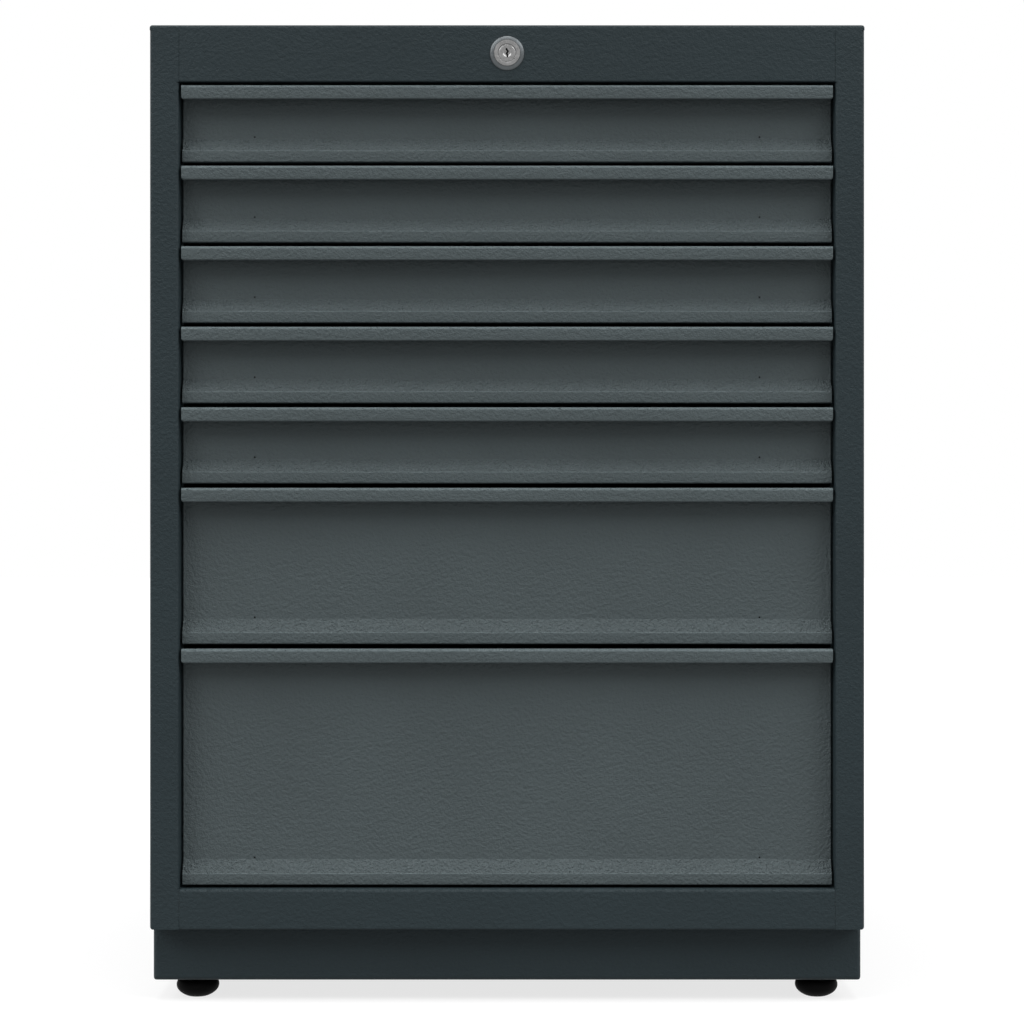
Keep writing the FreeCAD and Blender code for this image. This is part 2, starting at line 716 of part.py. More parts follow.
def rod_bearing():
    """Bracket under the top panel that holds the back end of the rod."""
    back = CRANK_FRONT - BEARING_AHEAD
    front = back - BEARING_T
    under_top = TOP_Z - HOUSING_T
    half = BEARING_WIDTH / 2
    bracket = folded_sheet(
        [(back, LOCK_Z - BEARING_BELOW), (back, under_top), (back - BEARING_FLANGE, under_top)],
        BEARING_T, [BEARING_BEND], "YZ", -half, half,
    )
    return bracket.cut(rod_y(ROD_RADIUS + LOCK_PLAY, 0, LOCK_Z, front, back))


def guide_heights():
    """Heights of the blocks that guide the lock bar."""
    first = FLOOR_Z + GUIDE_FOOT
    last = OPENING_TOP
    step = (last - first) / (GUIDES - 1)
    return [first + step * index for index in range(GUIDES)]


def lock_bar_guides():
    """Shouldered blocks on the back panel, one in each slot of the lock bar."""
    guides = []
    spacer_front = BAR_BACK + GUIDE_PLAY
    head_back = BAR_FRONT - GUIDE_PLAY
    for height in guide_heights():
        guides.append(fuse(
            guide_block(GUIDE_HEAD, height, spacer_front, BACK_PANEL_Y),
            guide_block(GUIDE_SHANK, height, head_back, spacer_front),
            guide_block(GUIDE_HEAD, height, head_back - GUIDE_HEAD_T, head_back),
        ))
    return Part.makeCompound(guides)


def guide_block(half, height, start, end):
    """Square block on the bar's middle line."""
    return box((-half, start, height - half), (half, end, height + half))


def hook(upper):
    """Upturned hook on the bar's leg, drawn unlocked, below the catch of its drawer."""
    tip_top = catch_height(upper) - TRAY_T - HOOK_HEADROOM - BAR_TRAVEL
    arm_top = tip_top - HOOK_RISE
    tip_front = TRAY_BACK + HOOK_PLAY
    outline = [
        (BAR_FRONT, arm_top - HOOK_ARM),
        (BAR_FRONT, arm_top),
        (tip_front + HOOK_TIP, arm_top),
        (tip_front + HOOK_TIP, tip_top),
        (tip_front, tip_top),
        (tip_front, arm_top - HOOK_ARM),
    ]
    return plate(outline, "YZ", HOOK_X, HOOK_X + HOOK_T)


def lock_bar():
    """Folded bar behind the drawers, with a slot for the crank pin and one for each guide."""
    half = BAR_WIDTH / 2
    pin_z = LOCK_Z - CRANK_PIN_DROP
    pin_reach = CRANK_REACH * math.cos(math.radians(CRANK_TURN / 2))
    bar = folded_sheet(
        [(half, BAR_BACK - BAR_LEG), (half, BAR_BACK), (-half, BAR_BACK)],
        BAR_T, [BAR_BEND], "XY", FLOOR_Z + BAR_FOOT, pin_z + BAR_HEAD,
    )
    bar = bar.cut(slot((-CRANK_REACH, pin_z), (-pin_reach, pin_z), CRANK_PIN + PIN_SLOT_PLAY, BAR_FRONT, BAR_BACK))
    gap = GUIDE_SHANK + GUIDE_PLAY
    for height in guide_heights():
        bar = bar.cut(box((-gap, BAR_FRONT, height - BAR_TRAVEL - gap), (gap, BAR_BACK, height + gap)))
    return bar


def build():
    """Every piece of the cabinet, under the name of its node."""
    right_panel = right_side_panel()
    rear_upright = BACK_Y - UPRIGHT_REAR
    uprights = {
        "front": right_upright(FRONT_Y + UPRIGHT_FRONT),
        "rear": right_upright(rear_upright),
    }
    parts = {
        "left_side_panel": mirrored(right_panel),
        "right_side_panel": right_panel,
        "top_panel": top_panel(),
        "base_panel": base_panel(),
        "back_panel": back_panel(),
        "plinth_frame": plinth_frame(),
        "foot_gussets": foot_gussets(),
    }
    for place, upright in uprights.items():
        parts["left_" + place + "_upright"] = mirrored(upright)
        parts["right_" + place + "_upright"] = upright
    outer_members = [right_outer_member(runner_height(lower)) for lower, upper in drawer_levels()]
    parts["right_outer_runners"] = Part.makeCompound(outer_members)
    parts["left_outer_runners"] = mirrored(parts["right_outer_runners"])
    for (side_x, side_y), place in zip(CORNERS, ("front_left", "front_right", "rear_left", "rear_right")):
        parts[place + "_foot_pad"] = foot_pad(side_x, side_y)
        parts[place + "_foot_stem"] = foot_stem(side_x, side_y)
    for number, (lower, upper) in enumerate(drawer_levels(), start=1):
        drawer = "drawer_" + str(number)
        height = runner_height(lower)
        parts[drawer + "_front"] = drawer_front(lower, upper)
        parts[drawer + "_tray"] = drawer_tray(lower, upper)
        parts[drawer + "_inner_runners"] = pair(right_inner_member(height))
        parts[drawer + "_middle_runners"] = pair(right_middle_member(height))
    parts["lock_housing"] = lock_housing()
    parts["lock_nut"] = lock_nut()
    parts["lock_plug"] = lock_plug()
    parts["lock_rod"] = Part.makeCompound([lock_rod(), lock_crank()])
    parts["rod_bearing"] = rod_bearing()
    parts["lock_bar"] = lock_bar()
    parts["lock_hooks"] = Part.makeCompound([hook(upper) for lower, upper in drawer_levels()])
    parts["lock_bar_guides"] = lock_bar_guides()
    return parts


def write(parts):
    """One STEP file for each piece."""
    os.makedirs("parts", exist_ok=True)
    for name, shape in parts.items():
        shape.exportStep(os.path.join("parts", name + ".step"))


write(build())
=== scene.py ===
import json
import logging
import math
from dataclasses import dataclass
from enum import Enum
from typing import Callable, Iterable, Sequence

import bmesh
import bpy
from mathutils import Matrix, Vector
from mathutils.geometry import tessellate_polygon


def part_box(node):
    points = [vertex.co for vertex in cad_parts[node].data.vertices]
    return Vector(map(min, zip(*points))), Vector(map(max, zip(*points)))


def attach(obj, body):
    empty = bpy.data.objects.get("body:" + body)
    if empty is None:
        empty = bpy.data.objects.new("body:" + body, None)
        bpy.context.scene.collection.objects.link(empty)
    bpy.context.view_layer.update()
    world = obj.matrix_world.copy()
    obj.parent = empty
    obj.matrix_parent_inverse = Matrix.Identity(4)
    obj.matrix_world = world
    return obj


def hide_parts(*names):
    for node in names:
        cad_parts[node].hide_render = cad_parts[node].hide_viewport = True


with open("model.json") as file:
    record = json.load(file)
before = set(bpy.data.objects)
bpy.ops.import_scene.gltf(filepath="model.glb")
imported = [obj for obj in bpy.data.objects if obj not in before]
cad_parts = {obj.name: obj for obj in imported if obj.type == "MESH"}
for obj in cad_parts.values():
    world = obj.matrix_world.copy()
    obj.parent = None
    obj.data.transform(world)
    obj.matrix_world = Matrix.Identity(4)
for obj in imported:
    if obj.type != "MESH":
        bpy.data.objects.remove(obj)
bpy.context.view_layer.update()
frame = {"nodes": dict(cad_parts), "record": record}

MM = 0.001
TURN = 2 * math.pi
DRAWERS = 7
# Point attribute that marks folds for a painted highlight: a lighter colour where they catch the light.
PAINTED_FOLD_HIGHLIGHT = "painted_fold_highlight"
SHARP_ANGLE = 32.0
ROUND_ANGLE = 40.0
NOISE_SPAN = (0.3, 0.7)
WHOLE_SPAN = (0.0, 1.0)

log = logging.getLogger("drawer_cabinet")

Point2 = tuple[float, float]
Colour = tuple[float, float, float]
Noise = tuple[float, float, float]
Socket = bpy.types.NodeSocket
Material = bpy.types.Material
BMesh = bmesh.types.BMesh
Reach = Callable[[float, float, float], float]
Piece = bpy.types.Object


class Slot(Enum):
    """Material slots of the record, one for each finish of the real cabinet."""

    FRAME_PAINT = "frame_paint"
    DRAWER_PAINT = "drawer_paint"
    ZINC_STEEL = "zinc_steel"
    LOCK_METAL = "lock_metal"
    GUIDE_PLASTIC = "guide_plastic"
    FOOT_PLASTIC = "foot_plastic"


class Axis(Enum):
    """Axis that a turned piece is turned about, as the order of its lathe coordinates."""

    Y = "y"
    Z = "z"


# Shader nodes


class NodeBench:
    """The node tree of a material or the world, with short calls for the nodes that they share."""

    def __init__(self, owner: Material | bpy.types.World, shader: str = "BsdfPrincipled",
                 output: str = "OutputMaterial") -> None:
        """Empties the tree and adds its shader.

        Args:
            owner: The material or world.
            shader: Type of its shader.
            output: Type of its output.
        """
        self.owner = owner
        owner.use_nodes = True
        self.tree = owner.node_tree
        self.tree.nodes.clear()
        self.shader = self.node(shader)
        self.link(self.shader.outputs[0], self.node(output).inputs["Surface"])
        self.place = self.node("TexCoord").outputs["Object"]

    def node(self, kind: str, **settings: str) -> bpy.types.Node:
        """Adds a shader node.

        Args:
            kind: Its type, without the leading ShaderNode.
            settings: Properties to set on it.

        Returns:
            The new node.
        """
        node = self.tree.nodes.new(f"ShaderNode{kind}")
        for name, value in settings.items():
            setattr(node, name, value)
        return node

    def link(self, source: Socket, target: Socket) -> None:
        """Joins two sockets."""
        self.tree.links.new(source, target)

    def set(self, **values: float | Colour) -> None:
        """Sets plain values on the shader's own sockets.

        Args:
            values: Socket names with underscores for spaces, and their values.
        """
        for name, value in values.items():
            socket = self.shader.inputs[name.replace("_", " ")]
            socket.default_value = (*value, 1.0) if isinstance(value, tuple) else value

    def moved(self, scale: Sequence[float], move: Sequence[float] = (0, 0, 0)) -> Socket:
        """Object coordinates, scaled by axis and then moved.

        Args:
            scale: Factor along X, Y and Z.
            move: What is added, in metres.

        Returns:
            The vector socket of the new coordinates.
        """
        node = self.node("VectorMath", operation="MULTIPLY_ADD")
        self.link(self.place, node.inputs[0])
        node.inputs[1].default_value = scale
        node.inputs[2].default_value = move
        return node.outputs[0]

    def noise(self, settings: Noise, place: Socket | None = None) -> Socket:
        """Cloudy noise.

        Args:
            settings: Cells in a metre, number of finer layers and share of each.
            place: Coordinates to read, or none for the object's own.

        Returns:
            The noise's value socket.
        """
        node = self.node("TexNoise")
        self.link(self.place if place is None else place, node.inputs["Vector"])
        for name, number in zip(("Scale", "Detail", "Roughness"), settings):
            node.inputs[name].default_value = number
        return node.outputs["Fac"]

    def ranged(self, value: Socket, low: float, high: float, span: Point2 = NOISE_SPAN) -> Socket:
        """Maps a value from one range to another, clamped.

        Args:
            value: The value.
            low: Result at the lower end of its range.
            high: Result at the upper end of its range.
            span: The value's range.

        Returns:
            The result's socket.
        """
        node = self.node("MapRange")
        self.link(value, node.inputs["Value"])
        for name, number in zip(("From Min", "From Max", "To Min", "To Max"), (*span, low, high)):
            node.inputs[name].default_value = number
        return node.outputs["Result"]

    def mixed(self, share: Socket, first: Colour | Socket, second: Colour) -> Socket:
        """Colour between two colours.

        Args:
            share: Share of the second, from 0 to 1.
            first: Colour, or the socket that gives it.
            second: The other colour.

        Returns:
            The socket of the mixed colour.
        """
        node = self.node("Mix", data_type="RGBA")
        self.link(share, node.inputs["Factor"])
        if isinstance(first, tuple):
            node.inputs[6].default_value = (*first, 1.0)
        else:
            self.link(first, node.inputs[6])
        node.inputs[7].default_value = (*second, 1.0)
        return node.outputs[2]

    def tint(self, share: Socket, colour: Colour, darkest: float, lightest: float) -> None:
        """Colours the shader between two shades of a colour, by a share from 0 to 1."""
        self.link(self.mixed(share, shade(colour, darkest), shade(colour, lightest)),
                  self.shader.inputs["Base Color"])

    def dull(self, value: Socket, smooth: float, rough: float, span: Point2 = NOISE_SPAN) -> None:
        """Makes the shader smooth where a value is low and rough where it is high."""
        self.link(self.ranged(value, smooth, rough, span), self.shader.inputs["Roughness"])

    def added(self, first: Socket, second: Socket, share: float) -> Socket:
        """First value plus a share of the second.

        Args:
            first: The first value.
            second: The value that is scaled.
            share: Factor of the second.

        Returns:
            The sum's socket.
        """
        node = self.node("Math", operation="MULTIPLY_ADD")
        self.link(second, node.inputs[0])
        node.inputs[1].default_value = share
        self.link(first, node.inputs[2])
        return node.outputs[0]

    def bump(self, height: Socket, depth: float) -> bpy.types.Node:
        """Bumps the shader's surface.

        Args:
            height: Value from 0 to 1.
            depth: Height of the relief in metres.

        Returns:
            The node that bumps it.
        """
        node = self.node("Bump")
        self.link(height, node.inputs["Height"])
        node.inputs["Distance"].default_value = depth
        self.link(node.outputs["Normal"], self.shader.inputs["Normal"])
        return node

    def shown_directly(self) -> Socket:
        """Share of a ray that shows a surface as it is: from the camera, or by a mirror or glass.

        Returns:
            A socket that is 1 for such rays and 0 for the ones that only carry light.
        """
        path = self.node("LightPath")
        share = path.outputs["Is Camera Ray"]
        for kind in ("Is Glossy Ray", "Is Transmission Ray"):
            either = self.node("Math", operation="MAXIMUM")
            self.link(share, either.inputs[0])
            self.link(path.outputs[kind], either.inputs[1])
            share = either.outputs[0]
        return share


def new_paint(name: str) -> NodeBench:
    """Bench of a new material."""
    return NodeBench(bpy.data.materials.new(name))


def shade(colour: Colour, factor: float) -> Colour:
    """The colour, lighter or darker by a factor."""
    return tuple(min(1.0, part * factor) for part in colour)


@dataclass(frozen=True)
class PowderCoat:
    """Baked powder paint with a fine orange-peel skin."""

    name: str
    colour: Colour
    roughness: float = 0.5
    peel: Noise = (330.0, 2.0, 0.55)
    relief: float = 0.001
    slope_gain: float = 2.6
    slope_span: Point2 = (0.2, 0.5)
    # Colour factor of the painted highlight on marked folds.
    fold_highlight_gain: float = 1.7
    grain: Noise = (1023.0, 1.0, 0.5)
    clouds: Noise = (9.0, 2.0, 0.5)
    gloss: float = 0.16

    def make(self) -> Material:
        """Builds the material: peel and fine grain in the relief, coarser on slopes, and faint clouds.

        The colour is lighter over the folds that carry the fold-highlight attribute: a painted highlight
        where they catch the light.

        Returns:
            The paint's material.
        """
        bench = new_paint(self.name)
        peel, grain = bench.noise(self.peel), bench.noise(self.grain)
        tone = bench.added(bench.ranged(bench.noise(self.clouds), 0.0, 0.45), peel, 0.55)
        coat = bench.mixed(tone, shade(self.colour, 0.9), shade(self.colour, 1.1))
        # Painted highlight: lighter colour over the marked folds, where they catch the light.
        fold = bench.node("Attribute", attribute_name=PAINTED_FOLD_HIGHLIGHT)
        bench.link(bench.mixed(fold.outputs["Fac"], coat, shade(self.colour, self.fold_highlight_gain)),
                   bench.shader.inputs["Base Color"])
        bench.dull(grain, self.roughness - 0.05, self.roughness + 0.06)
        bench.set(Specular_IOR_Level=self.gloss)
        upward = bench.node("SeparateXYZ")
        bench.link(bench.node("NewGeometry").outputs["True Normal"], upward.inputs[0])
        coarser = bench.ranged(upward.outputs["Z"], 1.0 / self.slope_gain, 1.0, self.slope_span)
        bump = bench.bump(bench.added(peel, grain, 0.35), self.relief * self.slope_gain)
        bench.link(coarser, bump.inputs["Strength"])
        return bench.owner


@dataclass(frozen=True)
class ZincPlate:
    """Rolled steel with a bright zinc coat: streaks along the rolling direction and cloudy spangle."""

    name: str = "zinc_plate"
    colour: Colour = (0.52, 0.54, 0.56)
    roughness: float = 0.34
    streaks: Noise = (900.0, 3.0, 0.6)
    stretch: float = 0.04
    clouds: Noise = (45.0, 4.0, 0.6)
    relief: float = 0.00002

    def make(self) -> Material:
        """Builds the material.

        Returns:
            The zinc's material.
        """
        bench = new_paint(self.name)
        streaks = bench.noise(self.streaks, bench.moved((1.0, self.stretch, 1.0)))
        clouds = bench.noise(self.clouds)
        tone = bench.added(bench.ranged(clouds, 0.0, 0.6), streaks, 0.4)
        bench.tint(tone, self.colour, 0.82, 1.12)
        bench.dull(clouds, self.roughness - 0.07, self.roughness + 0.1)
        bench.set(Metallic=1.0)
        bench.bump(streaks, self.relief)
        return bench.owner


@dataclass(frozen=True)
class TurnedNickel:
    """Nickel-plated zinc casting with fine turning marks about the lock's axis."""

    name: str
    centre: tuple[float, float, float]
    colour: Colour = (0.245, 0.245, 0.245)
    roughness: float = 0.3
    rings: float = 1100.0
    waver: float = 1.2
    smut: Noise = (420.0, 4.0, 0.65)
    smut_span: Point2 = (0.35, 0.65)
    relief: float = 0.000012

    def make(self) -> Material:
        """Builds the material, with rings about the lock's axis.

        Returns:
            The nickel's material.
        """
        bench = new_paint(self.name)
        wave = bench.node("TexWave", wave_type="RINGS", rings_direction="Y")
        bench.link(bench.moved((1.0, 1.0, 1.0), [-part for part in self.centre]), wave.inputs["Vector"])
        wave.inputs["Scale"].default_value = self.rings
        wave.inputs["Distortion"].default_value = self.waver
        smut = bench.noise(self.smut)
        bench.tint(bench.ranged(smut, 0.0, 1.0, self.smut_span), self.colour, 0.84, 1.1)
        bench.dull(smut, self.roughness - 0.06, self.roughness + 0.12)
        bench.set(Metallic=1.0)
        bench.bump(wave.outputs["Fac"], self.relief)
        return bench.owner


@dataclass(frozen=True)
class MouldedPlastic:
    """Moulded plastic with a fine eroded skin."""

    name: str
    colour: Colour
    roughness: float = 0.55
    gloss: float = 0.4
    skin: Noise = (1500.0, 2.0, 0.6)
    clouds: Noise = (60.0, 2.0, 0.5)
    relief: float = 0.00004

    def make(self) -> Material:
        """Builds the material.

        Returns:
            The plastic's material.
        """
        bench = new_paint(self.name)
        skin = bench.noise(self.skin)
        bench.tint(bench.noise(self.clouds), self.colour, 0.85, 1.15)
        bench.dull(skin, self.roughness - 0.06, self.roughness + 0.06)
        bench.set(Specular_IOR_Level=self.gloss)
        bench.bump(skin, self.relief)
        return bench.owner


@dataclass(frozen=True)
class BallSteel:
    """Hardened bearing balls with a thin film of grease."""

    name: str = "ball_steel"
    colour: Colour = (0.66, 0.66, 0.67)
    film: Noise = (260.0, 3.0, 0.6)
    film_span: Point2 = (0.35, 0.65)

    def make(self) -> Material:
        """Builds the material.

        Returns:
            The material of the balls.
        """
        bench = new_paint(self.name)
        film = bench.noise(self.film)
        bench.tint(film, self.colour, 0.8, 1.05)
        bench.dull(film, 0.12, 0.3, self.film_span)
        bench.set(Metallic=1.0)
        return bench.owner


class Paintshop:
    """Every finish of the cabinet, made once and handed out by name."""

    def __init__(self, lock_centre: tuple[float, float, float]) -> None:
        """Makes the finishes.

        Args:
            lock_centre: A point on the lock's axis, in metres.
        """
        self.frame = PowderCoat("frame_powder_coat", (0.0183, 0.0282, 0.0322)).make()
        self.drawer = PowderCoat("drawer_powder_coat", (0.0657, 0.0825, 0.0868), 0.42, relief=0.0014).make()
        self.zinc = ZincPlate().make()
        self.nickel = TurnedNickel("turned_nickel", lock_centre).make()
        # Painted shade: a darker copy of the nickel for the lock's rim, standing for its cone's darker
        # reflection.
        self.shaded_nickel = TurnedNickel("painted_shade_nickel", lock_centre, (0.098, 0.107, 0.112), 0.42).make()
        self.foot = MouldedPlastic("foot_plastic", (0.0025, 0.0025, 0.0025), 0.6, 0.05).make()
        self.guide = MouldedPlastic("guide_plastic", (0.62, 0.61, 0.56), 0.45).make()
        self.cage = MouldedPlastic("cage_plastic", (0.05, 0.055, 0.06), 0.5).make()
        self.balls = BallSteel().make()
        finishes = (self.frame, self.drawer, self.zinc, self.nickel, self.guide, self.foot)
        self.by_slot = dict(zip(Slot, finishes))


# Meshes


def box_mm(node: str) -> tuple[Vector, Vector]:
    """Lower and upper corner of a CAD node's box, in millimetres."""
    low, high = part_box(node)
    return low / MM, high / MM


def new_object(name: str, data: bpy.types.ID) -> Piece:
    """Adds an object to the scene.

    Args:
        name: Name of the object.
        data: Its mesh, lamp or camera.

    Returns:
        The new object, at the origin.
    """
    thing = bpy.data.objects.new(name, data)
    bpy.context.scene.collection.objects.link(thing)
    return thing


def add_piece(name: str, mesh: BMesh, material: Material, sharp: float = SHARP_ANGLE) -> Piece:
    """Turns a finished mesh into an object at the origin.

    Args:
        name: Name of the piece.
        mesh: The mesh in millimetres; it is freed.
        material: Finish of the piece.
        sharp: Angle in degrees over which an edge stays sharp.

    Returns:
        The new object, in metres.
    """
    bmesh.ops.remove_doubles(mesh, verts=mesh.verts, dist=0.0005)
    bmesh.ops.recalc_face_normals(mesh, faces=mesh.faces)
    bmesh.ops.scale(mesh, vec=(MM, MM, MM), verts=mesh.verts)
    data = bpy.data.meshes.new(name)
    mesh.to_mesh(data)
    mesh.free()
    data.materials.append(material)
    data.shade_smooth()
    data.set_sharp_from_angle(angle=math.radians(sharp))
    return new_object(name, data)


def baked(piece: Piece) -> Piece:
    """Applies the modifiers of a piece and removes them.

    Args:
        piece: Object with live modifiers.

    Returns:
        The same object, with a plain mesh.
    """
    bpy.context.view_layer.update()
    graph = bpy.context.evaluated_depsgraph_get()
    data = bpy.data.meshes.new_from_object(piece.evaluated_get(graph), depsgraph=graph)
    piece.modifiers.clear()
    piece.data = data
    return piece


def report(piece: Piece, body: str, replaces: Iterable[str] = ()) -> None:
    """Puts a finished piece on its body and logs it.

    Args:
        piece: The finished object.
        body: Body that it moves with.
        replaces: CAD nodes that it stands for.
    """
    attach(piece, body)
    nodes = tuple(replaces)
    if nodes:
        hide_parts(*nodes)
    log.info("%s rides on %s with %d faces", piece.name, body, len(piece.data.polygons))


def arc_points(corner: Vector, before: Vector, after: Vector, radius: float, steps: int) -> list[Vector]:
    """Points of the arc that rounds a corner of a path.

    Args:
        corner: The corner itself.
        before: Neighbour on the path before it.
        after: Neighbour on the path after it.
        radius: Radius of the arc, or 0 to keep the corner.
        steps: Number of chords for a right angle.

    Returns:
        The points that take the corner's place.
    """
    if radius <= 0:
        return [corner]
    back = (before - corner).normalized()
    ahead = (after - corner).normalized()
    half = back.angle(ahead) / 2
    reach = radius / math.tan(half)
    centre = corner + (back + ahead).normalized() * (radius / math.sin(half))
    start = corner + back * reach - centre
    sweep = start.angle_signed(corner + ahead * reach - centre)
    count = max(2, round(steps * abs(sweep) / (math.pi / 2)))
    return [centre + Matrix.Rotation(-sweep * i / count, 2) @ start for i in range(count + 1)]


def sheet_outline(path: Sequence[Point2], thickness: float, bends: Sequence[float],
                  steps: int = 8) -> list[Vector]:
    """Closed outline of a folded sheet, from its face on the right of the path.

    Args:
        path: Points of that face, with sharp corners.
        thickness: Thickness of the sheet, to the left of the path.
        bends: Outer radius of each fold.
        steps: Number of chords for a right angle.

    Returns:
        The outline's points in order.
    """
    right = [Vector(point) for point in path]
    normals = [Vector((-(b - a).y, (b - a).x)).normalized() for a, b in zip(right, right[1:])]
    left = []
    for index, point in enumerate(right):
        first = normals[max(index - 1, 0)]
        second = normals[min(index, len(normals) - 1)]
        left.append(point + (first + second) * (thickness / (1 + first.dot(second))))
    sides = [[right[0]], [left[0]]]
    for index in range(1, len(right) - 1):
        turn = (right[index] - right[index - 1]).cross(right[index + 1] - right[index])
        outer = bends[index - 1]
        inner = max(outer - thickness, 0.0)
        for side, points, radius in zip(sides, (right, left), (outer, inner) if turn > 0 else (inner, outer)):
            side.extend(arc_points(points[index], points[index - 1], points[index + 1], radius, steps))
    return sides[0] + [right[-1], left[-1]] + sides[1][::-1]


def skinned(mesh: BMesh, rings: Sequence[Sequence[bmesh.types.BMVert]]) -> None:
    """Joins each ring of vertices to the next one; a ring of a single vertex is a pole.

    Args:
        mesh: Mesh that holds the vertices.
        rings: The rings in order, all with as many vertices apart from the poles.
    """
    sides = max(map(len, rings))
    for first, second in zip(rings, rings[1:]):
        for index in range(sides):
            following = (index + 1) % sides
            corners = dict.fromkeys((first[index % len(first)], first[following % len(first)],
                                     second[following % len(second)], second[index % len(second)]))
            if len(corners) > 2:
                mesh.faces.new(list(corners))


def swept(mesh: BMesh, outline: Sequence[Vector], stations: Sequence[float],
          place: Callable[[Vector, float], Vector]) -> None:
    """Adds a closed bar that carries an outline along its stations.

    Args:
        mesh: Mesh to add to.
        outline: Closed outline.
        stations: Positions along the bar.
        place: Gives the place of an outline point at a station.
    """
    rings = [[mesh.verts.new(place(point, station)) for point in outline] for station in stations]
    skinned(mesh, rings)
    flat = [Vector((point.x, point.y, 0)) for point in outline]
    for triangle in tessellate_polygon([flat]):
        for ring in (rings[0], rings[-1]):
            mesh.faces.new([ring[corner] for corner in triangle])


def turned(profile: Sequence[Point2], axis: Axis, centre: Vector, segments: int,
           reach: Reach = lambda radius, along, angle: radius, capped: bool = False) -> BMesh:
    """Makes a turned shape.

    Args:
        profile: Radius and position along the axis, from one pole or edge round to the other.
        axis: Axis that the piece is turned about.
        centre: Point on the axis.
        segments: Number of steps round.
        reach: Gives the distance from the axis for a radius and position of the profile and an angle.
        capped: Whether the first and the last ring are closed with a flat face.

    Returns:
        The mesh.
    """
    mesh = bmesh.new()
    rings = []
    for radius, along in profile:
        ring = []
        for index in range(segments if radius > 0 else 1):
            angle = TURN * index / segments
            far = reach(radius, along, angle)
            a, b = far * math.cos(angle), far * math.sin(angle)
            offset = Vector((a, along, b)) if axis is Axis.Y else Vector((a, b, along))
            ring.append(mesh.verts.new(centre + offset))
        rings.append(ring)
    skinned(mesh, rings)
    for ring in (rings[0], rings[-1]) if capped else ():
        mesh.faces.new(ring)
    return mesh


def carved(piece: Piece, cutters: Sequence[Piece]) -> Piece:
    """Cuts the cutters out of a piece and removes them.

    Args:
        piece: Piece to cut.
        cutters: Closed meshes; their finish goes on the faces that they cut.

    Returns:
        The piece with a plain mesh.
    """
    for cutter in cutters:
        cut = piece.modifiers.new("cut", "BOOLEAN")
        cut.operation = "DIFFERENCE"
        cut.solver = "EXACT"
        cut.material_mode = "TRANSFER"
        cut.object = cutter
    baked(piece)
    for cutter in cutters:
        bpy.data.objects.remove(cutter)
    piece.data.set_sharp_from_angle(angle=math.radians(SHARP_ANGLE))
    return piece


# Geometry node trees


class RowTree:
    """Node tree that repeats a small shape in rows along one axis, from the points of a mesh."""

    def __init__(self, name: str) -> None:
        """Builds the tree.

        Args:
            name: Name of the node group.
        """
        self.group = bpy.data.node_groups.new(name, "GeometryNodeTree")
        face = self.group.interface
        self.sockets: dict[str, str] = {}
        face.new_socket("Geometry", in_out="INPUT", socket_type="NodeSocketGeometry")
        for label, kind in (("Count", "NodeSocketInt"), ("Step", "NodeSocketVector"),
                            ("Shape", "NodeSocketObject"), ("Wobble", "NodeSocketVector"),
                            ("Seed", "NodeSocketInt"), ("Finish", "NodeSocketMaterial")):
            self.sockets[label] = face.new_socket(label, in_out="INPUT", socket_type=kind).identifier
        face.new_socket("Geometry", in_out="OUTPUT", socket_type="NodeSocketGeometry")
        self._wire()

    def _wire(self) -> None:
        """Adds and joins the nodes."""
        kinds = {"given": "NodeGroupInput", "line": "GeometryNodeMeshLine",
                 "rows": "GeometryNodeInstanceOnPoints", "spread": "GeometryNodeRealizeInstances",
                 "shape": "GeometryNodeObjectInfo", "turn": "FunctionNodeRandomValue",
                 "least": "ShaderNodeVectorMath", "scatter": "GeometryNodeInstanceOnPoints",
                 "solid": "GeometryNodeRealizeInstances", "finish": "GeometryNodeSetMaterial",
                 "result": "NodeGroupOutput"}
        nodes = {name: self.group.nodes.new(kind) for name, kind in kinds.items()}
        nodes["line"].mode = "OFFSET"
        nodes["turn"].data_type = "FLOAT_VECTOR"
        nodes["least"].operation = "MULTIPLY"
        nodes["least"].inputs[1].default_value = (-1.0, -1.0, -1.0)
        wires = {
            "line": {"Count": "given.Count", "Offset": "given.Step"},
            "rows": {"Points": "given.Geometry", "Instance": "line.Mesh"},
            "spread": {"Geometry": "rows.Instances"},
            "shape": {"Object": "given.Shape"},
            "least": {"Vector": "given.Wobble"},
            "turn": {"Seed": "given.Seed", "Min": "least.Vector", "Max": "given.Wobble"},
            "scatter": {"Points": "spread.Geometry", "Instance": "shape.Geometry", "Rotation": "turn.Value"},
            "solid": {"Geometry": "scatter.Instances"},
            "finish": {"Geometry": "solid.Geometry", "Material": "given.Finish"},
            "result": {"Geometry": "finish.Geometry"},
        }
        for target, entries in wires.items():
            for entry, source in entries.items():
                node, output = source.split(".")
                self.group.links.new(nodes[node].outputs[output], nodes[target].inputs[entry])

    def lay(self, name: str, starts: Sequence[Vector], count: int, step: Vector, shape: Piece,
            finish: Material, wobble: Sequence[float], seed: int) -> Piece:
        """Repeats a shape from each start.

        Args:
            name: Name of the new piece.
            starts: First place of each row, in millimetres.
            count: Shapes in a row.
            step: From one shape to the next, in millimetres.
            shape: Small object to repeat, about the origin.
            finish: Material of the shapes.
            wobble: Largest random turn about X, Y and Z, in radians.
            seed: Seed of the random turns.

        Returns:
            The new object, with a plain mesh.
        """
        data = bpy.data.meshes.new(name)
        data.from_pydata([tuple(start * MM) for start in starts], [], [])
        piece = new_object(name, data)
        rows = piece.modifiers.new("rows", "NODES")
        rows.node_group = self.group
        values = {"Count": count, "Step": tuple(step * MM), "Shape": shape, "Wobble": tuple(wobble),
                  "Seed": seed, "Finish": finish}
        for label, value in values.items():
            rows[self.sockets[label]] = value
        return baked(piece)


# Sub-assemblies


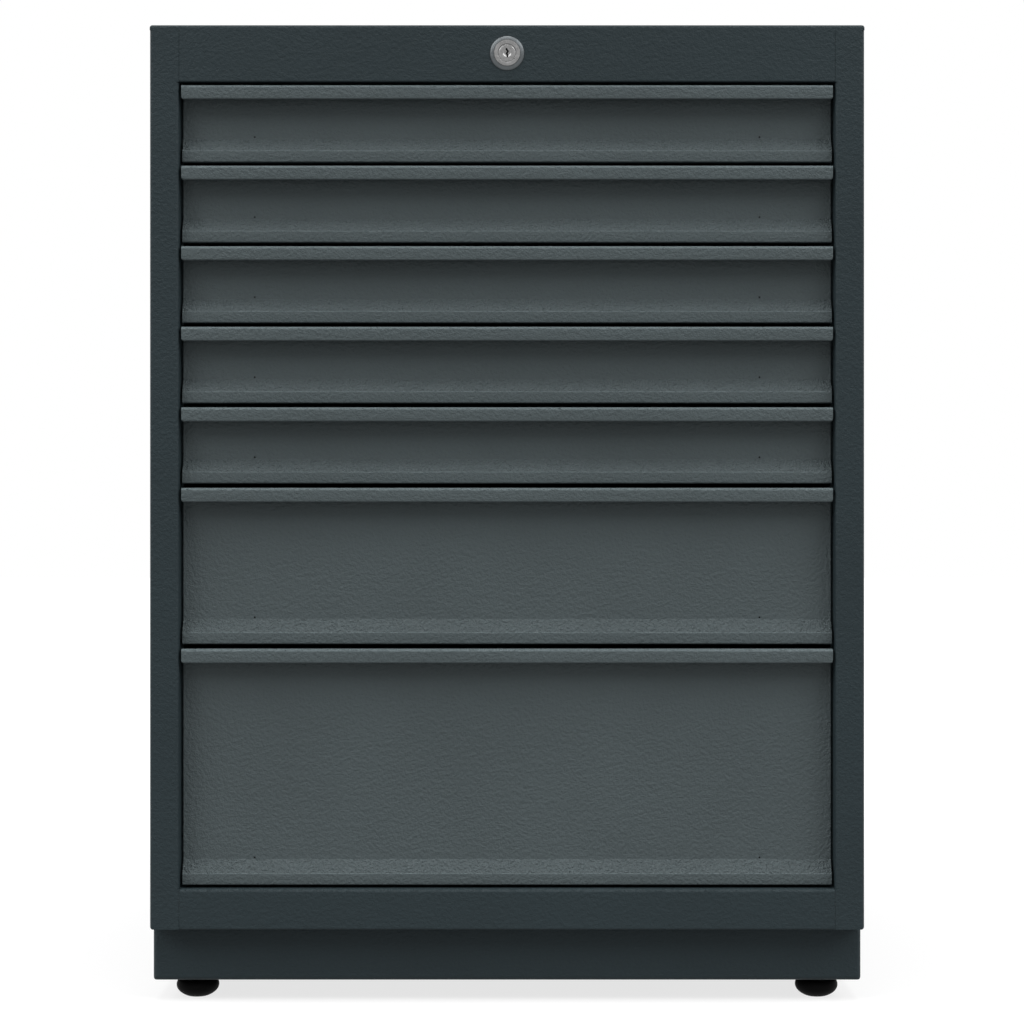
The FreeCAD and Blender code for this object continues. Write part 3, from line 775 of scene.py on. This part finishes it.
@dataclass
class DrawerFront:
    """A drawer's front: one sheet folded into a grip lip with a hem, a recessed face, a slope and a strip."""

    number: int
    shop: Paintshop
    sheet: float = 1.2
    lip_height: float = 13.3
    lip_depth: float = 3.2
    hem_height: float = 8.0
    face_depth: float = 16.0
    strip_depth: float = 8.0
    strip_height: float = 10.7
    slope_height: float = 12.4
    strip_return: float = 8.0
    corner_radius: float = 2.2
    corner_rise: float = 3.0
    fold: float = 1.3
    lip_fold: float = 2.8
    slope_folds: tuple[float, float] = (2.2, 2.0)
    lip_play: float = 0.1
    # Strength of the painted highlight on the lip's upper fold and on the slope's lower crease.
    lip_highlight: float = 1.5
    crease_highlight: float = 0.8
    pin_hole_radius: float = 0.9
    pin_hole_x: float = 236.5
    pin_hole_rise: float = 1.6
    pin_hole_start: float = 2.0
    pin_hole_plug: float = 0.2
    pin_hole_sides: int = 20
    corner_steps: int = 6
    sharp: float = 25.0

    def __post_init__(self) -> None:
        """Reads the front's place from its CAD node."""
        self.node = f"drawer_{self.number}_front"
        self.low, self.high = box_mm(self.node)

    def outline(self) -> list[Vector]:
        """Cross-section of the sheet, as depth and height.

        Returns:
            The closed outline.
        """
        t = self.sheet
        front, upper, lower = self.low.y, self.high.z, self.low.z
        face = front + self.face_depth
        strip = front + self.strip_depth
        lip_lower = upper - self.lip_height
        slope_lower = lower + self.strip_height
        hem = front + self.lip_depth - t
        path = [
            (hem, lip_lower + self.hem_height), (hem, lip_lower + t), (front + t, lip_lower + t),
            (front + t, upper - t), (face, upper - t), (face, slope_lower + self.slope_height),
            (strip, slope_lower), (strip, lower), (strip + self.strip_return, lower),
        ]
        bends = [self.fold, self.fold, self.lip_fold, self.fold, *self.slope_folds, self.fold]
        return sheet_outline(path, t, bends)

    def placed(self, point: Vector, x: float) -> Vector:
        """Place of an outline point, with the lower end corners of the lip rounded off.

        Args:
            point: Depth and height.
            x: Station along the front.

        Returns:
            The point in the cabinet's frame.
        """
        depth, height = point
        radius = self.corner_radius
        rise = self.corner_rise * radius
        inset = radius - min(x - self.low.x, self.high.x - x, radius)
        lip_lower = self.high.z - self.lip_height
        if depth < self.low.y + self.lip_depth + self.lip_play and height < lip_lower + rise:
            raised = lip_lower + radius - math.sqrt(max(radius * radius - inset * inset, 0.0))
            share = (height - lip_lower) / rise
            height = raised + (lip_lower + rise - raised) * share
        return Vector((x, depth, height))

    def build(self) -> None:
        """Makes the front and puts it on its drawer."""
        ends = [self.corner_radius * (1 - math.cos(math.pi / 2 * step / self.corner_steps))
                for step in range(self.corner_steps + 1)]
        stations = [self.low.x + end for end in ends] + [self.high.x - end for end in reversed(ends)]
        mesh = bmesh.new()
        swept(mesh, self.outline(), stations, self.placed)
        front = add_piece(f"front_{self.number}", mesh, self.shop.drawer, self.sharp)
        self.paint_fold_highlights(front)
        carved(front, [self.pin_hole(side) for side in (-1, 1)])
        report(front, f"drawer_{self.number}", [self.node])

    def paint_fold_highlights(self, front: Piece) -> None:
        """Marks the lip's upper fold and the slope's lower fold with a painted highlight, where the folds
        catch the light.

        Args:
            front: The front's object.
        """
        lip = (Vector((self.low.y, self.high.z)), self.lip_fold, self.lip_highlight)
        tilt = math.atan((self.face_depth - self.strip_depth) / self.slope_height)
        reach = self.slope_folds[1] * math.tan(tilt / 2)
        fold = Vector((self.low.y + self.strip_depth, self.low.z + self.strip_height))
        # Painted highlight: strongest at each fold's middle, fading towards its ends.
        highlight_share = front.data.attributes.new(PAINTED_FOLD_HIGHLIGHT, "FLOAT", "POINT")
        for vertex, value in zip(front.data.vertices, highlight_share.data):
            point = Vector((vertex.co.y, vertex.co.z)) / MM
            value.value = max(most * max(0.0, 1 - (point - corner).length / span)
                              for corner, span, most in (lip, (fold, reach, self.crease_highlight)))

    def pin_hole(self, side: int) -> Piece:
        """Cutter for a pin hole, which leaves a thin plug at the back of the sheet; its near-black finish
        paints shade in the hole.

        Args:
            side: -1 for the left hole and 1 for the right one.

        Returns:
            The cutter.
        """
        height = self.low.z + self.strip_height + self.slope_height + self.pin_hole_rise
        start = self.face_depth - self.pin_hole_start
        end = self.face_depth + self.sheet - self.pin_hole_plug
        profile = [(0, start), (self.pin_hole_radius, start), (self.pin_hole_radius, end), (0, end)]
        centre = Vector((side * self.pin_hole_x, self.low.y, height))
        # Painted shade: the hole's wall and bottom take the near-black foot plastic.
        return add_piece("pin_hole", turned(profile, Axis.Y, centre, self.pin_hole_sides), self.shop.foot)


@dataclass
class CentralLock:
    """The lock's face: a rim in a darker nickel that paints shade on its cone, a flat face ring, and the plug
    with its countersunk keyway.
    """

    shop: Paintshop
    rim: float = 16.0
    face: float = 12.3
    plug: float = 8.4
    proud: float = 2.4
    body: float = 11.0
    countersink: float = 3.9
    well: float = 2.6
    play: float = 0.1
    keyway_width: float = 1.5
    keyway_start: float = 1.0
    keyway_depth: float = 13.0
    keyway_fold: float = 0.5
    keyway_steps: int = 4
    keyway_path: tuple[Point2, ...] = (
        (-0.5, 4.3), (-0.5, 2.9), (0.7, 1.5), (-0.5, -0.3), (0.3, -2.0), (0.3, -4.2))
    sides: int = 128

    def __post_init__(self) -> None:
        """Reads the lock's place from its CAD nodes."""
        self.low, self.high = box_mm("lock_housing")
        self.centre = Vector((0.0, self.low.y, (self.low.z + self.high.z) / 2))
        low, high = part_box("lock_plug")
        self.plug_front = low.y / MM - self.low.y
        self.plug_back = high.y / MM - self.low.y

    def build(self) -> None:
        """Makes the housing, its rim and the plug."""
        back = self.high.y - self.low.y
        bore = self.plug + self.play
        seam = self.face + self.play
        face = [
            (bore, back), (bore, 0.45), (bore + 0.12, 0.2), (bore + 0.5, 0.05), (self.face - 1.0, 0.0),
            (self.face - 0.3, 0.12), (self.face, 0.5), (self.face, self.proud), (self.body, self.proud),
            (self.body, back), (bore, back),
        ]
        rim = [
            (seam, self.proud), (seam, 0.55), (seam + 0.5, 0.62), (self.rim - 1.2, 1.3),
            (self.rim - 0.4, 1.75), (self.rim, self.proud), (seam, self.proud),
        ]
        # The rim takes the darker nickel: painted shade on its cone.
        for name, profile, finish, nodes in (("lock_face", face, self.shop.nickel, ["lock_housing"]),
                                             ("lock_rim", rim, self.shop.shaded_nickel, [])):
            mesh = turned(profile, Axis.Y, self.centre, self.sides)
            report(add_piece(name, mesh, finish, ROUND_ANGLE), "cabinet", nodes)
        self.build_plug()

    def build_plug(self) -> None:
        """Makes the plug, with a keyway at the bottom of a countersink."""
        face = [(0.0, 1.1), (self.well, 1.1), (self.well + 0.3, 0.9), (self.countersink - 0.2, 0.1),
                (self.countersink + 0.2, 0.0)]
        groove = [(1.4, 0.0), (1.1, 0.1), (0.75, 0.38), (0.6, 0.42), (0.45, 0.38), (0.25, 0.16), (0.05, 0.14),
                  (0.0, 0.25)]
        face += [(self.plug - inset, depth) for inset, depth in groove]
        profile = [(radius, self.plug_front + depth) for radius, depth in face]
        profile += [(self.plug, self.plug_back), (0.0, self.plug_back)]
        mesh = turned(profile, Axis.Y, self.centre, self.sides)
        piece = add_piece("lock_core", mesh, self.shop.nickel, ROUND_ANGLE)
        carved(piece, [self.keyway()])
        report(piece, "lock_plug", ["lock_plug"])

    def keyway(self) -> Piece:
        """Cutter along the keyway's zig-zag; its near-black finish paints shade on the slot's walls.

        Returns:
            The cutter.
        """
        half = self.keyway_width / 2
        outline = sheet_outline([(x - half, z) for x, z in self.keyway_path], self.keyway_width,
                                [self.keyway_fold] * (len(self.keyway_path) - 2), self.keyway_steps)
        mesh = bmesh.new()
        swept(mesh, outline, [self.plug_front - self.keyway_start, self.plug_front + self.keyway_depth],
              lambda point, y: self.centre + Vector((point.x, y, point.y)))
        # Painted shade: the keyway's cut walls take the near-black foot plastic.
        return add_piece("keyway", mesh, self.shop.foot)


@dataclass
class LevellingFoot:
    """A levelling foot: a bowl-shaped pad with a small flat under it, and a threaded stem."""

    place: str
    shop: Paintshop
    widest: float = 10.5
    flat: float = 9.8
    top_round: float = 0.6
    sole_round: float = 1.5
    bowl_steps: int = 22
    bowl_sides: int = 72
    pitch: float = 1.5
    thread_depth: float = 0.85
    crest: float = 1.25
    chamfer: float = 1.2
    end_cut: float = 1.3
    thread_steps: int = 6
    thread_sides: int = 24
    pad_sharp: float = 35.0

    def measured(self, node: str) -> tuple[Vector, float, float, float]:
        """Axis, radius, lower end and upper end of a round CAD node, in millimetres."""
        low, high = box_mm(node)
        return Vector(((low.x + high.x) / 2, (low.y + high.y) / 2, 0)), (high.x - low.x) / 2, low.z, high.z

    def build(self) -> None:
        """Makes the pad and the stem and puts them on their foot."""
        self.build_pad()
        self.build_stem()

    def build_pad(self) -> None:
        """Makes the pad, a bowl with a small flat under it."""
        node = f"{self.place}_foot_pad"
        centre, radius, _, top = self.measured(node)
        last = math.acos(self.flat / radius)
        depth = self.widest / math.sin(last)
        first = -math.asin((top - self.widest) / depth)
        turns = [first + (last - first) * step / self.bowl_steps for step in range(self.bowl_steps + 1)]
        bowl = [(radius * math.cos(turn), self.widest - depth * math.sin(turn)) for turn in turns]
        profile = [(0.0, top), (bowl[0][0] - self.top_round, top), *bowl[1:],
                   (self.flat - self.sole_round, 0.0), (0.0, 0.0)]
        mesh = turned(profile, Axis.Z, centre, self.bowl_sides)
        piece = add_piece(f"{self.place}_pad", mesh, self.shop.foot, self.pad_sharp)
        report(piece, f"{self.place}_foot", [node])

    def build_stem(self) -> None:
        """Makes the threaded stem, with a chamfered upper end."""
        node = f"{self.place}_foot_stem"
        centre, radius, low, high = self.measured(node)

        def reach(radius: float, z: float, angle: float) -> float:
            """The radius less the thread's groove, or less the chamfer at the upper end."""
            groove = min(1.0, abs(((z / self.pitch + angle / TURN) % 1.0) - 0.5) * 2 * self.crest)
            return radius - self.thread_depth * max(groove, self.end_cut * (1.0 - (high - z) / self.chamfer))

        rows = round((high - low) / self.pitch * self.thread_steps)
        profile = [(radius, low + (high - low) * row / rows) for row in range(rows + 1)]
        mesh = turned(profile, Axis.Z, centre, self.thread_sides, reach, capped=True)
        piece = add_piece(f"{self.place}_stem", mesh, self.shop.zinc, ROUND_ANGLE)
        report(piece, f"{self.place}_foot", [node])


@dataclass
class RunnerBearings:
    """Balls and their cages between the members of one drawer's two runners."""

    number: int
    shop: Paintshop
    outer_race: float = 19.65
    outer_x: float = 5.6
    inner_race: float = 15.25
    inner_x: float = 7.8
    ball: float = 1.6
    ball_detail: int = 2
    ball_sharp: float = 180.0
    pitch: float = 26.0
    count: int = 9
    margin: float = 12.0
    leaf: float = 0.3
    leaf_fold: float = 0.6
    leaf_steps: int = 4
    cage_end: float = 6.0
    outer_cage: Point2 = (1.35, 7.6)
    inner_cage: Point2 = (3.15, 6.4)
    web_gap: float = 1.8
    tumble: float = 0.6

    def __post_init__(self) -> None:
        """Reads the runner's place from its CAD node."""
        self.low, self.high = box_mm(f"drawer_{self.number}_middle_runners")
        self.axis_z = (self.low.z + self.high.z) / 2
        self.half_length = (self.high.y - self.low.y) / 2
        self.web = self.high.x + self.web_gap
        self.first_outer = self.low.y + self.half_length + self.margin
        self.first_inner = self.low.y + self.margin

    def rows(self) -> list[Vector]:
        """First ball of every row, on both sides of the drawer.

        Returns:
            The places in millimetres.
        """
        starts = []
        for side in (-1, 1):
            for level in (-1, 1):
                for inset, first, race in ((self.outer_x, self.first_outer, self.outer_race),
                                           (self.inner_x, self.first_inner, self.inner_race)):
                    starts.append(Vector((side * (self.web - inset), first, self.axis_z + level * race)))
        return starts

    def build(self, rows: RowTree, ball: Piece) -> None:
        """Lays the balls and makes the cages.

        Args:
            rows: The tree that repeats a shape.
            ball: One ball.
        """
        body = f"runner_{self.number}"
        balls = rows.lay(f"balls_{self.number}", self.rows(), self.count, Vector((0, self.pitch, 0)), ball,
                         self.shop.balls, (self.tumble,) * 3, self.number)
        balls.data.shade_smooth()
        report(balls, body)
        mesh = bmesh.new()
        for side in (-1, 1):
            self.add_cage(mesh, side, self.outer_cage, self.outer_race, self.first_outer)
            self.add_cage(mesh, side, self.inner_cage, self.inner_race, self.first_inner)
        report(add_piece(f"cages_{self.number}", mesh, self.shop.cage), body)

    def add_cage(self, mesh: BMesh, side: int, cage: Point2, race: float, first: float) -> None:
        """Adds one cage, a thin channel that holds an upper and a lower row of balls.

        Args:
            mesh: Mesh to add to.
            side: -1 for the left runner and 1 for the right one.
            cage: Inset of the channel's web from the runner's, and how far its flanges reach from there.
            race: Height of the rows over and under the runner's axis.
            first: Y of the first ball.
        """
        web, reach = self.web - cage[0], cage[1]
        rise = side * race - self.leaf / 2
        path = [(side * (web - inset), self.axis_z + level * rise)
                for inset, level in ((reach, -1), (0.0, -1), (0.0, 1), (reach, 1))]
        outline = sheet_outline(path, self.leaf, [self.leaf_fold] * 2, self.leaf_steps)
        end = first + self.pitch * (self.count - 1)
        swept(mesh, outline, [first - self.cage_end, end + self.cage_end],
              lambda point, y: Vector((point.x, y, point.y)))


@dataclass(frozen=True)
class Head:
    """The head of a small fastener: rings of radius and height over the sheet, hexagons at one radius."""

    name: str
    rings: tuple[Point2, ...]
    hexagon: float = 0.0
    sides: int = 24

    def reach(self, radius: float, along: float, angle: float) -> float:
        """Distance of a ring from the axis: the radius, which for a hexagon is that of its flats."""
        lean = (angle + TURN / 12) % (TURN / 6) - TURN / 12 if radius == self.hexagon else 0.0
        return radius / math.cos(lean)

    def shape(self, facing: Vector, finish: Material) -> Piece:
        """Makes the head about the origin.

        Args:
            facing: Direction that the head looks to.
            finish: Its metal.

        Returns:
            The head, to be repeated by a tree.
        """
        mesh = turned(self.rings, Axis.Z, Vector((0, 0, 0)), self.sides, self.reach)
        turn = facing.to_track_quat("Z", "Y").to_matrix().to_4x4()
        bmesh.ops.transform(mesh, matrix=turn, verts=mesh.verts)
        return add_piece(self.name, mesh, finish, ROUND_ANGLE)


SOCKET_SCREW = Head("screw_shape", (
    (0.0, 0.9), (1.3, 0.9), (1.3, 2.1), (1.9, 2.25), (3.0, 1.9), (3.6, 1.2), (3.8, 0.5), (3.8, -0.1),
    (0.0, -0.1)), 1.3)
TUBE_RIVET = Head("rivet_shape", (
    (0.0, 0.25), (0.8, 0.2), (1.0, 0.75), (1.5, 1.0), (2.4, 0.75), (2.9, 0.3), (3.0, -0.1), (0.0, -0.1)))
HEX_BOLT = Head("bolt_shape", (
    (0.0, 5.3), (4.6, 5.3), (6.2, 5.3), (6.5, 4.9), (6.5, 1.6), (7.0, 1.5), (9.0, 1.4), (9.2, 1.0),
    (9.2, -0.1), (0.0, -0.1)), 6.5)


@dataclass
class Fasteners:
    """Rivets and screws that show inside the drawers, on the lock bar's guides and under the plinth."""

    rows: RowTree
    shop: Paintshop
    seed: int = 11
    sheet: float = 0.9
    rivet_inset: float = 60.0
    screw_columns: int = 4
    screw_spacing: float = 160.0
    screw_drop: float = 24.0
    tall: float = 100.0
    rivets: int = 3
    plinth_flange: float = 2.0
    bolts: int = 3
    bolt_inset: float = 13.0
    bolt_end: float = 90.0

    def lay(self, name: str, head: Head, facing: Vector, starts: Sequence[Vector], count: int, step: Vector,
            body: str) -> None:
        """Repeats a head and puts the piece on its body.

        Args:
            name: Name of the piece.
            head: Kind of fastener.
            facing: Direction that the heads look to.
            starts: First place of each row, in millimetres.
            count: Heads in a row.
            step: From one head to the next, in millimetres.
            body: Body that the piece moves with.
        """
        shape = head.shape(facing, self.shop.zinc)
        spin = tuple(abs(part) * math.pi for part in facing)
        piece = self.rows.lay(name, starts, count, step, shape, self.shop.zinc, spin, self.seed)
        bpy.data.objects.remove(shape)
        piece.data.set_sharp_from_angle(angle=math.radians(ROUND_ANGLE))
        report(piece, body)

    def build(self) -> None:
        """Makes every fastener that shows."""
        for number in range(1, DRAWERS + 1):
            self.build_drawer(number)
        low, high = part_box("lock_bar_guides")
        size = high.x - low.x
        starts = [Vector((0, low.y, height)) / MM for height in (low.z + size / 2, high.z - size / 2)]
        self.lay("guide_screws", SOCKET_SCREW, Vector((0, -1, 0)), starts, 1, Vector((0, 0, 0)), "cabinet")
        low, high = box_mm("plinth_frame")
        inset, under = self.bolt_inset, high.z - self.plinth_flange
        starts = [Vector((x, low.y + self.bolt_end, under)) for x in (low.x + inset, high.x - inset)]
        span = Vector((0, (high.y - low.y - 2 * self.bolt_end) / (self.bolts - 1), 0))
        self.lay("plinth_bolts", HEX_BOLT, Vector((0, 0, -1)), starts, self.bolts, span, "cabinet")

    def build_drawer(self, number: int) -> None:
        """Makes the rivets of one tray's runners and the screws of its front.

        Args:
            number: The drawer's number, from the top one down.
        """
        body = f"drawer_{number}"
        tray_low, tray_high = box_mm(f"{body}_tray")
        low, high = box_mm(f"{body}_inner_runners")
        axis = (low.z + high.z) / 2
        span = Vector((0, (high.y - low.y - 2 * self.rivet_inset) / (self.rivets - 1), 0))
        for side, word, wall in ((1, "right", tray_high.x), (-1, "left", tray_low.x)):
            start = Vector((wall - side * self.sheet, low.y + self.rivet_inset, axis))
            self.lay(f"{word}_rivets_{number}", TUBE_RIVET, Vector((-side, 0, 0)), [start], self.rivets, span,
                     body)
        first = -self.screw_spacing * (self.screw_columns - 1) / 2
        levels = [tray_high.z - self.screw_drop]
        if tray_high.z - tray_low.z > self.tall:
            levels.append(tray_low.z + self.screw_drop)
        starts = [Vector((first, tray_low.y + self.sheet, level)) for level in levels]
        self.lay(f"front_screws_{number}", SOCKET_SCREW, Vector((0, 1, 0)), starts, self.screw_columns,
                 Vector((self.screw_spacing, 0, 0)), body)


class Cabinet:
    """The whole drawer cabinet: dresses the CAD nodes and adds the pieces that Blender makes."""

    def __init__(self) -> None:
        """Makes the finishes for the lock's place."""
        low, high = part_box("lock_housing")
        self.shop = Paintshop((0.0, low.y, (low.z + high.z) / 2))

    def dress_nodes(self) -> None:
        """Gives every CAD node the finish of its record slot."""
        slots = {part["node"]: part["material_slot"] for part in frame["record"]["subparts"]}
        for name, node in frame["nodes"].items():
            finish = self.shop.by_slot[Slot(slots[name])]
            node.data.materials.clear()
            node.data.materials.append(finish)
            log.info("%s is dressed in %s", name, finish.name)

    def build(self) -> None:
        """Builds every piece in order."""
        self.dress_nodes()
        for number in range(1, DRAWERS + 1):
            DrawerFront(number, self.shop).build()
        CentralLock(self.shop).build()
        for place in ("front_left", "front_right", "rear_left", "rear_right"):
            LevellingFoot(place, self.shop).build()
        rows = RowTree("rows_of_small_parts")
        self.build_bearings(rows)
        Fasteners(rows, self.shop).build()

    def build_bearings(self, rows: RowTree) -> None:
        """Lays the balls and cages of all the runners.

        Args:
            rows: The tree that repeats a shape.
        """
        mesh = bmesh.new()
        bmesh.ops.create_icosphere(mesh, subdivisions=RunnerBearings.ball_detail, radius=RunnerBearings.ball)
        ball = add_piece("ball_shape", mesh, self.shop.balls, RunnerBearings.ball_sharp)
        for number in range(1, DRAWERS + 1):
            RunnerBearings(number, self.shop).build(rows, ball)
        bpy.data.objects.remove(ball)


# Studio


@dataclass(frozen=True)
class SoftSun:
    """A distant soft lamp, given by where it stands as seen from the cabinet's front."""

    name: str
    azimuth: float
    elevation: float
    spread: float
    power: float
    distance: float = 6.0

    def build(self) -> None:
        """Adds the lamp; azimuth turns from straight ahead towards +X."""
        data = bpy.data.lights.new(self.name, "SUN")
        data.angle = math.radians(self.spread)
        data.energy = self.power
        lamp = new_object(self.name, data)
        turn, tilt = math.radians(self.azimuth), math.radians(self.elevation)
        towards = Vector((math.sin(turn) * math.cos(tilt), -math.cos(turn) * math.cos(tilt), math.sin(tilt)))
        lamp.location = towards * self.distance
        lamp.rotation_euler = towards.to_track_quat("Z", "Y").to_euler()


@dataclass
class Studio:
    """Pale floor, white surroundings, soft lamps and the camera of the photograph."""

    camera_height: float = 0.4601
    camera_distance: float = 2.2
    lens: float = 83.14
    sensor: float = 36.0
    sight: float = 60.0
    shift_x: float = 0.0048
    sky: float = 0.42
    floor_tone: float = 0.22
    floor_glow: float = 0.76
    floor_reach: float = 14.0
    suns: tuple[SoftSun, ...] = (
        SoftSun("left_sun", -64.0, 41.0, 40.0, 2.0),
        SoftSun("right_sun", 64.0, 41.0, 40.0, 2.0),
        SoftSun("top_sun", 0.0, 77.0, 30.0, 1.55),
    )

    def build(self) -> None:
        """Sets up everything round the object."""
        self.set_floor()
        self.set_world()
        for sun in self.suns:
            sun.build()
        self.set_camera()
        bpy.context.scene.view_settings.view_transform = "Standard"

    def set_floor(self) -> None:
        """Adds a wide pale floor that shows white round the object's soft shadow."""
        mesh = bpy.data.meshes.new("floor")
        corners = [(-1, -1), (1, -1), (1, 1), (-1, 1)]
        reach = self.floor_reach
        mesh.from_pydata([(x * reach, y * reach, 0) for x, y in corners], [], [range(4)])
        floor = new_object("floor", mesh)
        bench = new_paint("floor_paper")
        bench.set(Base_Color=(self.floor_tone,) * 3, Roughness=1.0, Specular_IOR_Level=0.0,
                  Emission_Color=(1.0, 1.0, 1.0))
        glow = bench.ranged(bench.shown_directly(), 0.0, self.floor_glow, WHOLE_SPAN)
        bench.link(glow, bench.shader.inputs["Emission Strength"])
        mesh.materials.append(bench.owner)

    def set_world(self) -> None:
        """Lights the scene evenly, and shows white to the camera and in reflections."""
        bench = NodeBench(bpy.data.worlds.new("studio"), "Background", "OutputWorld")
        bench.set(Color=(1.0, 1.0, 1.0))
        strength = bench.ranged(bench.shown_directly(), self.sky, 1.0, WHOLE_SPAN)
        bench.link(strength, bench.shader.inputs["Strength"])
        bpy.context.scene.world = bench.owner

    def set_camera(self) -> None:
        """Puts the camera level in front of the cabinet, as in the photograph."""
        data = bpy.data.cameras.new("camera")
        data.lens = self.lens
        data.sensor_width = self.sensor
        data.shift_x = self.shift_x
        data.clip_end = self.sight
        camera = new_object("camera", data)
        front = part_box("drawer_1_front")[0].y
        camera.location = (0.0, front - self.camera_distance, self.camera_height)
        camera.rotation_euler = (math.pi / 2, 0.0, 0.0)
        bpy.context.scene.camera = camera


def main() -> None:
    """Builds the cabinet and its studio."""
    logging.basicConfig(level=logging.INFO, format="%(name)s: %(message)s")
    Cabinet().build()
    Studio().build()


if __name__ == "__main__":
    main()
